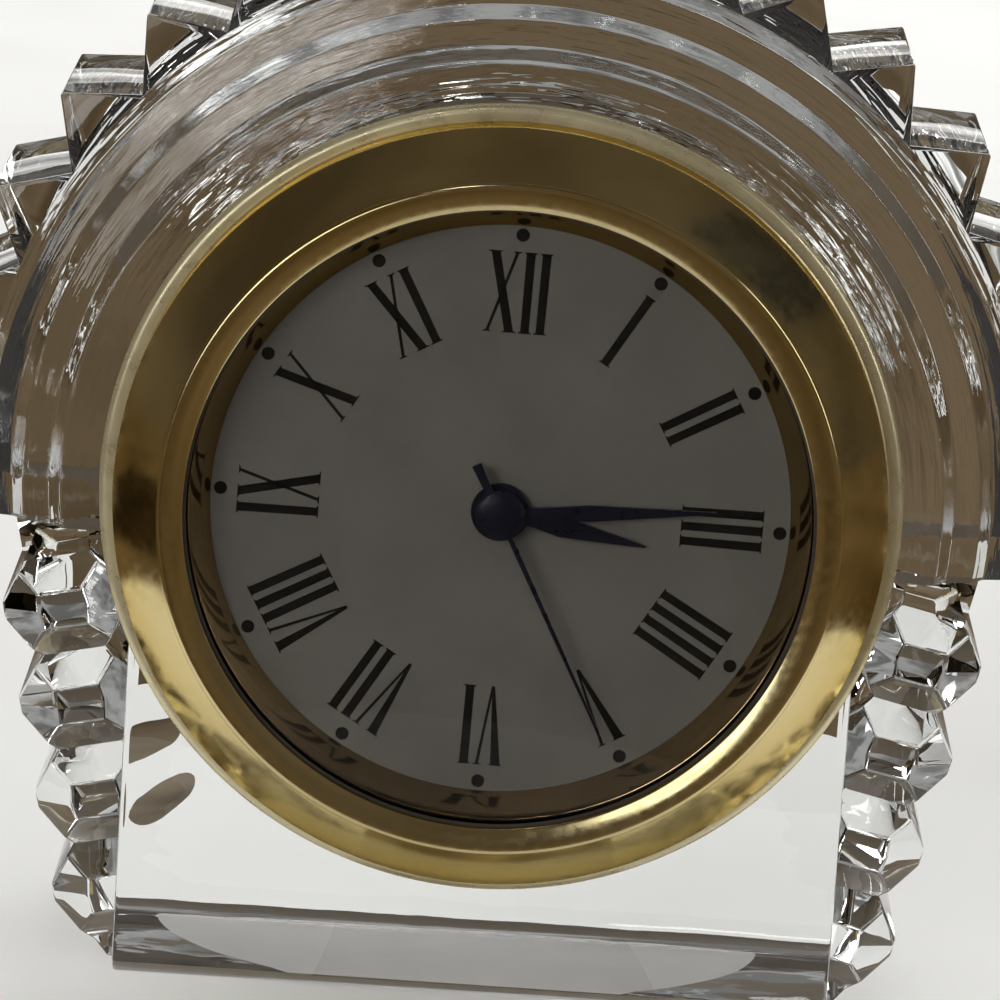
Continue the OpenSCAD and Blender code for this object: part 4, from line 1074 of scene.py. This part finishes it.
def stroke(bm, foot, head, foot_w, head_w, place):
    """A thin raised bar from foot to head, given its width at both ends."""
    quad = [(foot[0] - foot_w / 2, foot[1]), (foot[0] + foot_w / 2, foot[1]),
            (head[0] + head_w / 2, head[1]), (head[0] - head_w / 2, head[1])]
    low = [bm.verts.new(place(x, y, DIAL_TOP + 0.002)) for x, y in quad]
    high = [bm.verts.new(place(x, y, PRINT_TOP)) for x, y in quad]
    bm.faces.new(low[::-1])
    bm.faces.new(high)
    for i in range(4):
        j = (i + 1) % 4
        bm.faces.new([low[i], low[j], high[j], high[i]])


def numeral(bm, text, hour):
    angle = radians(hour * 30 + PRINT_TURN)

    def place(x, y, z):
        return at(x * cos(angle) + y * sin(angle), -x * sin(angle) + y * cos(angle), z)

    total = sum(WIDTHS[c] for c in text) + GAP * (len(text) - 1)
    x = -total / 2
    serif = 0.13
    for c in text:
        w = WIDTHS[c]
        left, right, mid = x, x + w, x + w / 2
        squeeze = FEET_R / HEADS_R * 0.16 + 0.84
        if c == "I":
            stroke(bm, (mid * squeeze, FEET_R), (mid, HEADS_R), THICK * 0.94, THICK, place)
            stroke(bm, (mid * squeeze, FEET_R), (mid * squeeze, FEET_R + 0.1), w + 2 * serif, w + serif, place)
            stroke(bm, (mid, HEADS_R - 0.1), (mid, HEADS_R), w + serif, w + 2 * serif, place)
        if c == "V":
            stroke(bm, (mid - 0.02, FEET_R), (left + THICK / 2, HEADS_R), 0.18, THICK * 1.1, place)
            stroke(bm, (mid + 0.02, FEET_R), (right - THIN / 2, HEADS_R), 0.14, THIN, place)
            stroke(bm, (left + THICK / 2, HEADS_R - 0.1), (left + THICK / 2, HEADS_R), THICK + serif, THICK + 3 * serif, place)
            stroke(bm, (right - THIN / 2, HEADS_R - 0.1), (right - THIN / 2, HEADS_R), THIN + serif, THIN + 3 * serif, place)
        if c == "X":
            stroke(bm, (right - THICK / 2, FEET_R), (left + THICK / 2, HEADS_R), THICK, THICK, place)
            stroke(bm, (left + THIN / 2, FEET_R), (right - THIN / 2, HEADS_R), THIN, THIN, place)
            for foot_x, head_x, bar in ((right - THICK / 2, left + THICK / 2, THICK), (left + THIN / 2, right - THIN / 2, THIN)):
                stroke(bm, (foot_x, FEET_R), (foot_x, FEET_R + 0.1), bar + 3 * serif, bar + serif, place)
                stroke(bm, (head_x, HEADS_R - 0.1), (head_x, HEADS_R), bar + serif, bar + 3 * serif, place)
        x += w + GAP


ink = finish("dial_ink", (0.0025, 0.0023, 0.0022), (0.0045, 0.004, 0.004), rough=(0.45, 0.6), grain=3000,
             grain_depth=0.05, shine=0.05)
print_bm = bmesh.new()
for hour, text in NUMERALS.items():
    numeral(print_bm, text, hour)
numerals = new_piece("dial_numerals", print_bm)
numerals.data.materials.append(ink)
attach(numerals, "insert")

# %% Dots
DOT_R = 17.25
DOT_SIZE = 0.82


def dot_form():
    bm = bmesh.new()
    bmesh.ops.create_cone(bm, segments=32, radius1=DOT_SIZE / 2 * MM, radius2=DOT_SIZE / 2 * 0.94 * MM,
                          depth=0.018 * MM, cap_ends=True)
    bmesh.ops.rotate(bm, verts=bm.verts, matrix=Matrix.Rotation(radians(90), 3, "X"))
    bmesh.ops.translate(bm, verts=bm.verts, vec=(0, (FACE_Y - DIAL_TOP - 0.011) * MM, DOT_R * MM))
    return new_piece("dot_form", bm)


dots = grow(dot_form(), ring_of, {"Count": 12, "Pitch": 30.0, "First Angle": PRINT_TURN,
            "Axis Height": AXIS_HEIGHT * MM, "Material": ink}, "dial_dots")
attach(dots, "insert")

# %% [markdown]
# The hands are stamped, with eased edges and a dark navy lacquer. The second hand carries a
# wide domed hub that covers the other two.

# %% Hands
HOUR_ANGLE, MINUTE_ANGLE, SECOND_ANGLE = 100, 86, 152.5
HOUR_Z = DIAL_TOP + 0.35
MINUTE_Z = HOUR_Z + HAND_T + 0.3
SECOND_Z = MINUTE_Z + HAND_T + 0.3
navy = finish("hand_navy", (0.002, 0.0024, 0.006), (0.0035, 0.0042, 0.010), rough=(0.25, 0.38),
              grain=1500, grain_depth=0.02, shine=0.12)


def turned(outline, angle):
    a = radians(angle)
    return [(x * cos(a) + y * sin(a), -x * sin(a) + y * cos(a)) for x, y in outline]


def circle(r, n=48):
    return [(r * sin(2 * pi * k / n), r * cos(2 * pi * k / n)) for k in range(n)]


def leaf(name, length, width, boss_r, hole_r, z, angle):
    waist = width * 0.34
    blade = [(-waist, boss_r * 0.5), (-waist, boss_r + 0.4), (-width / 2, length * 0.42),
             (-0.06, length), (0.06, length), (width / 2, length * 0.42), (waist, boss_r + 0.4),
             (waist, boss_r * 0.5)]
    hand = slab(name, turned(blade, angle), z, z + HAND_T, 0.05)
    boss = slab(name + "_boss", circle(boss_r), z, z + HAND_T, 0.04)
    joined(hand, boss, "UNION")
    joined(hand, spun(name + "_hole", [(0, z - 1), (hole_r, z - 1), (hole_r, z + 1), (0, z + 1)], 48), "DIFFERENCE")
    hand.data.materials.clear()
    hand.data.materials.append(navy)
    soften(hand, 30)
    return hand


hour_box, minute_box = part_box("hour_hand"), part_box("minute_hand")
hour = leaf("hour_blade", 9.2, 1.3, 1.8, 1.2, HOUR_Z, HOUR_ANGLE)
minute = leaf("minute_blade", 13.3, 1.0, 1.3, 0.7, MINUTE_Z, MINUTE_ANGLE)
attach(hour, "hour_work")
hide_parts("hour_hand")
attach(minute, "minute_work")
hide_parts("minute_hand")
needle = [(-0.175, 0), (-0.08, 15.3), (0.08, 15.3), (0.175, 0), (0.315, -3.5), (-0.315, -3.5)]
second = slab("second_needle", turned(needle, SECOND_ANGLE), SECOND_Z, SECOND_Z + HAND_T, 0.04)
hub = spun("second_hub", [(0, SECOND_Z), (1.5, SECOND_Z), (1.55, SECOND_Z + 0.05),
           (1.55, SECOND_Z + 0.14), (1.46, SECOND_Z + 0.22), (1.2, SECOND_Z + 0.31),
           (0.7, SECOND_Z + 0.38), (0, SECOND_Z + 0.40)], 64, 40)
joined(second, hub, "UNION")
second.data.materials.clear()
second.data.materials.append(navy)
soften(second, 35)
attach(second, "seconds_work")
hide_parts("second_hand")
print("hour hand from", [round(v * 1000, 1) for v in hour_box[0]])

# %% [markdown]
# ## Finishes of the imported pieces
#
# The other pieces are already right in the imported model: the dial plate, the case, the
# movement and its small parts. Each gets the finish of its own metal or plastic, and the dial's
# grey is made darker to paint in the shade of its recess.

# %% Finishes by node
NODE_FINISH = {
    # A grey paint, made darker to stand in for the shade that falls on the recessed dial.
    "dial": finish("dial_paint", (0.060, 0.0575, 0.053), (0.072, 0.069, 0.0635), rough=(0.5, 0.7),
                   grain=1300, grain_depth=0.2, blotch=160, shine=0.2),
    "case_cup": gold("case_brass", (0.62, 0.42, 0.16), (0.72, 0.52, 0.22), (0.16, 0.3), 0.3, 0.3),
    "grip_ring": finish("grip_rubber", (0.03, 0.027, 0.024), (0.05, 0.045, 0.04), rough=(0.5, 0.7)),
    "movement_holder": finish("holder_plastic", (0.62, 0.62, 0.58), (0.68, 0.68, 0.64), rough=(0.4, 0.5)),
    "main_plate": finish("plate_steel", (0.50, 0.49, 0.47), (0.58, 0.57, 0.55), 1.0, (0.25, 0.4)),
    "train_bridge": finish("bridge_plastic", (0.55, 0.56, 0.55), (0.62, 0.63, 0.62), rough=(0.35, 0.5)),
    "stator": finish("stator_iron", (0.42, 0.41, 0.40), (0.50, 0.49, 0.47), 1.0, (0.3, 0.45)),
    "coil_core": finish("core_iron", (0.38, 0.37, 0.36), (0.46, 0.45, 0.44), 1.0, (0.3, 0.45)),
    "coil_bobbin": finish("bobbin_plastic", (0.05, 0.05, 0.055), (0.08, 0.08, 0.085), rough=(0.35, 0.5)),
    "coil_winding": finish("winding_copper", (0.55, 0.20, 0.08), (0.70, 0.28, 0.11), 1.0, (0.25, 0.4),
                           stretch=(14, 1, 1), grain=1500, grain_depth=0.5),
    "rotor": finish("rotor_magnet", (0.10, 0.10, 0.11), (0.16, 0.16, 0.17), 0.6, (0.3, 0.45)),
    "fifth_wheel": finish("wheel_white", (0.60, 0.60, 0.56), (0.68, 0.68, 0.64), rough=(0.35, 0.5)),
    "seconds_wheel": finish("wheel_brass_a", (0.66, 0.46, 0.18), (0.74, 0.54, 0.24), 1.0, (0.2, 0.35)),
    "third_wheel": finish("wheel_brass_b", (0.66, 0.46, 0.18), (0.74, 0.54, 0.24), 1.0, (0.2, 0.35)),
    "centre_wheel": finish("wheel_brass_c", (0.64, 0.44, 0.17), (0.72, 0.52, 0.23), 1.0, (0.2, 0.35)),
    "cannon_pinion": finish("wheel_brass_d", (0.64, 0.44, 0.17), (0.72, 0.52, 0.23), 1.0, (0.2, 0.35)),
    "minute_wheel": finish("wheel_plastic_a", (0.60, 0.58, 0.50), (0.68, 0.66, 0.58), rough=(0.35, 0.5)),
    "hour_wheel": finish("wheel_plastic_b", (0.62, 0.60, 0.52), (0.70, 0.68, 0.60), rough=(0.35, 0.5)),
    "hour_wheel_washer": finish("washer_brass", (0.70, 0.50, 0.20), (0.78, 0.58, 0.26), 1.0, (0.2, 0.3)),
    "setting_stem": finish("stem_steel", (0.50, 0.50, 0.50), (0.58, 0.58, 0.57), 1.0, (0.2, 0.35)),
    "setting_knob": finish("knob_plastic", (0.020, 0.020, 0.022), (0.035, 0.035, 0.037), rough=(0.3, 0.5)),
    "circuit_board": finish("board_green", (0.012, 0.10, 0.045), (0.018, 0.13, 0.06), rough=(0.3, 0.45)),
    "driver_chip": finish("chip_resin", (0.010, 0.010, 0.011), (0.02, 0.02, 0.021), rough=(0.3, 0.5)),
    "quartz_can": finish("can_steel", (0.60, 0.60, 0.61), (0.68, 0.68, 0.68), 1.0, (0.15, 0.3)),
    "battery_cell": finish("cell_steel", (0.60, 0.60, 0.60), (0.70, 0.70, 0.69), 1.0, (0.15, 0.3)),
    "negative_contact": finish("spring_steel_a", (0.62, 0.58, 0.50), (0.70, 0.66, 0.58), 1.0, (0.2, 0.3)),
    "positive_contact": finish("spring_steel_b", (0.62, 0.58, 0.50), (0.70, 0.66, 0.58), 1.0, (0.2, 0.3)),
    "back_cover": finish("cover_plastic", (0.018, 0.018, 0.020), (0.030, 0.030, 0.033), rough=(0.4, 0.6),
                         grain=1800, grain_depth=0.4),
    "battery_hatch": finish("hatch_plastic", (0.022, 0.022, 0.025), (0.036, 0.036, 0.040), rough=(0.35, 0.55),
                            grain=1800, grain_depth=0.4),
    "plate_screws": finish("screw_steel_a", (0.50, 0.50, 0.50), (0.58, 0.58, 0.57), 1.0, (0.2, 0.35)),
    "bridge_screws": finish("screw_steel_b", (0.50, 0.50, 0.50), (0.58, 0.58, 0.57), 1.0, (0.2, 0.35)),
    "coil_screws": finish("screw_steel_c", (0.50, 0.50, 0.50), (0.58, 0.58, 0.57), 1.0, (0.2, 0.35)),
    "board_screws": finish("screw_steel_d", (0.50, 0.50, 0.50), (0.58, 0.58, 0.57), 1.0, (0.2, 0.35)),
}
for name, material in NODE_FINISH.items():
    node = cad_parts[name]
    if not node.material_slots:
        node.data.materials.append(material)
    for slot in node.material_slots:
        slot.material = material
print("finished nodes:", len(NODE_FINISH))
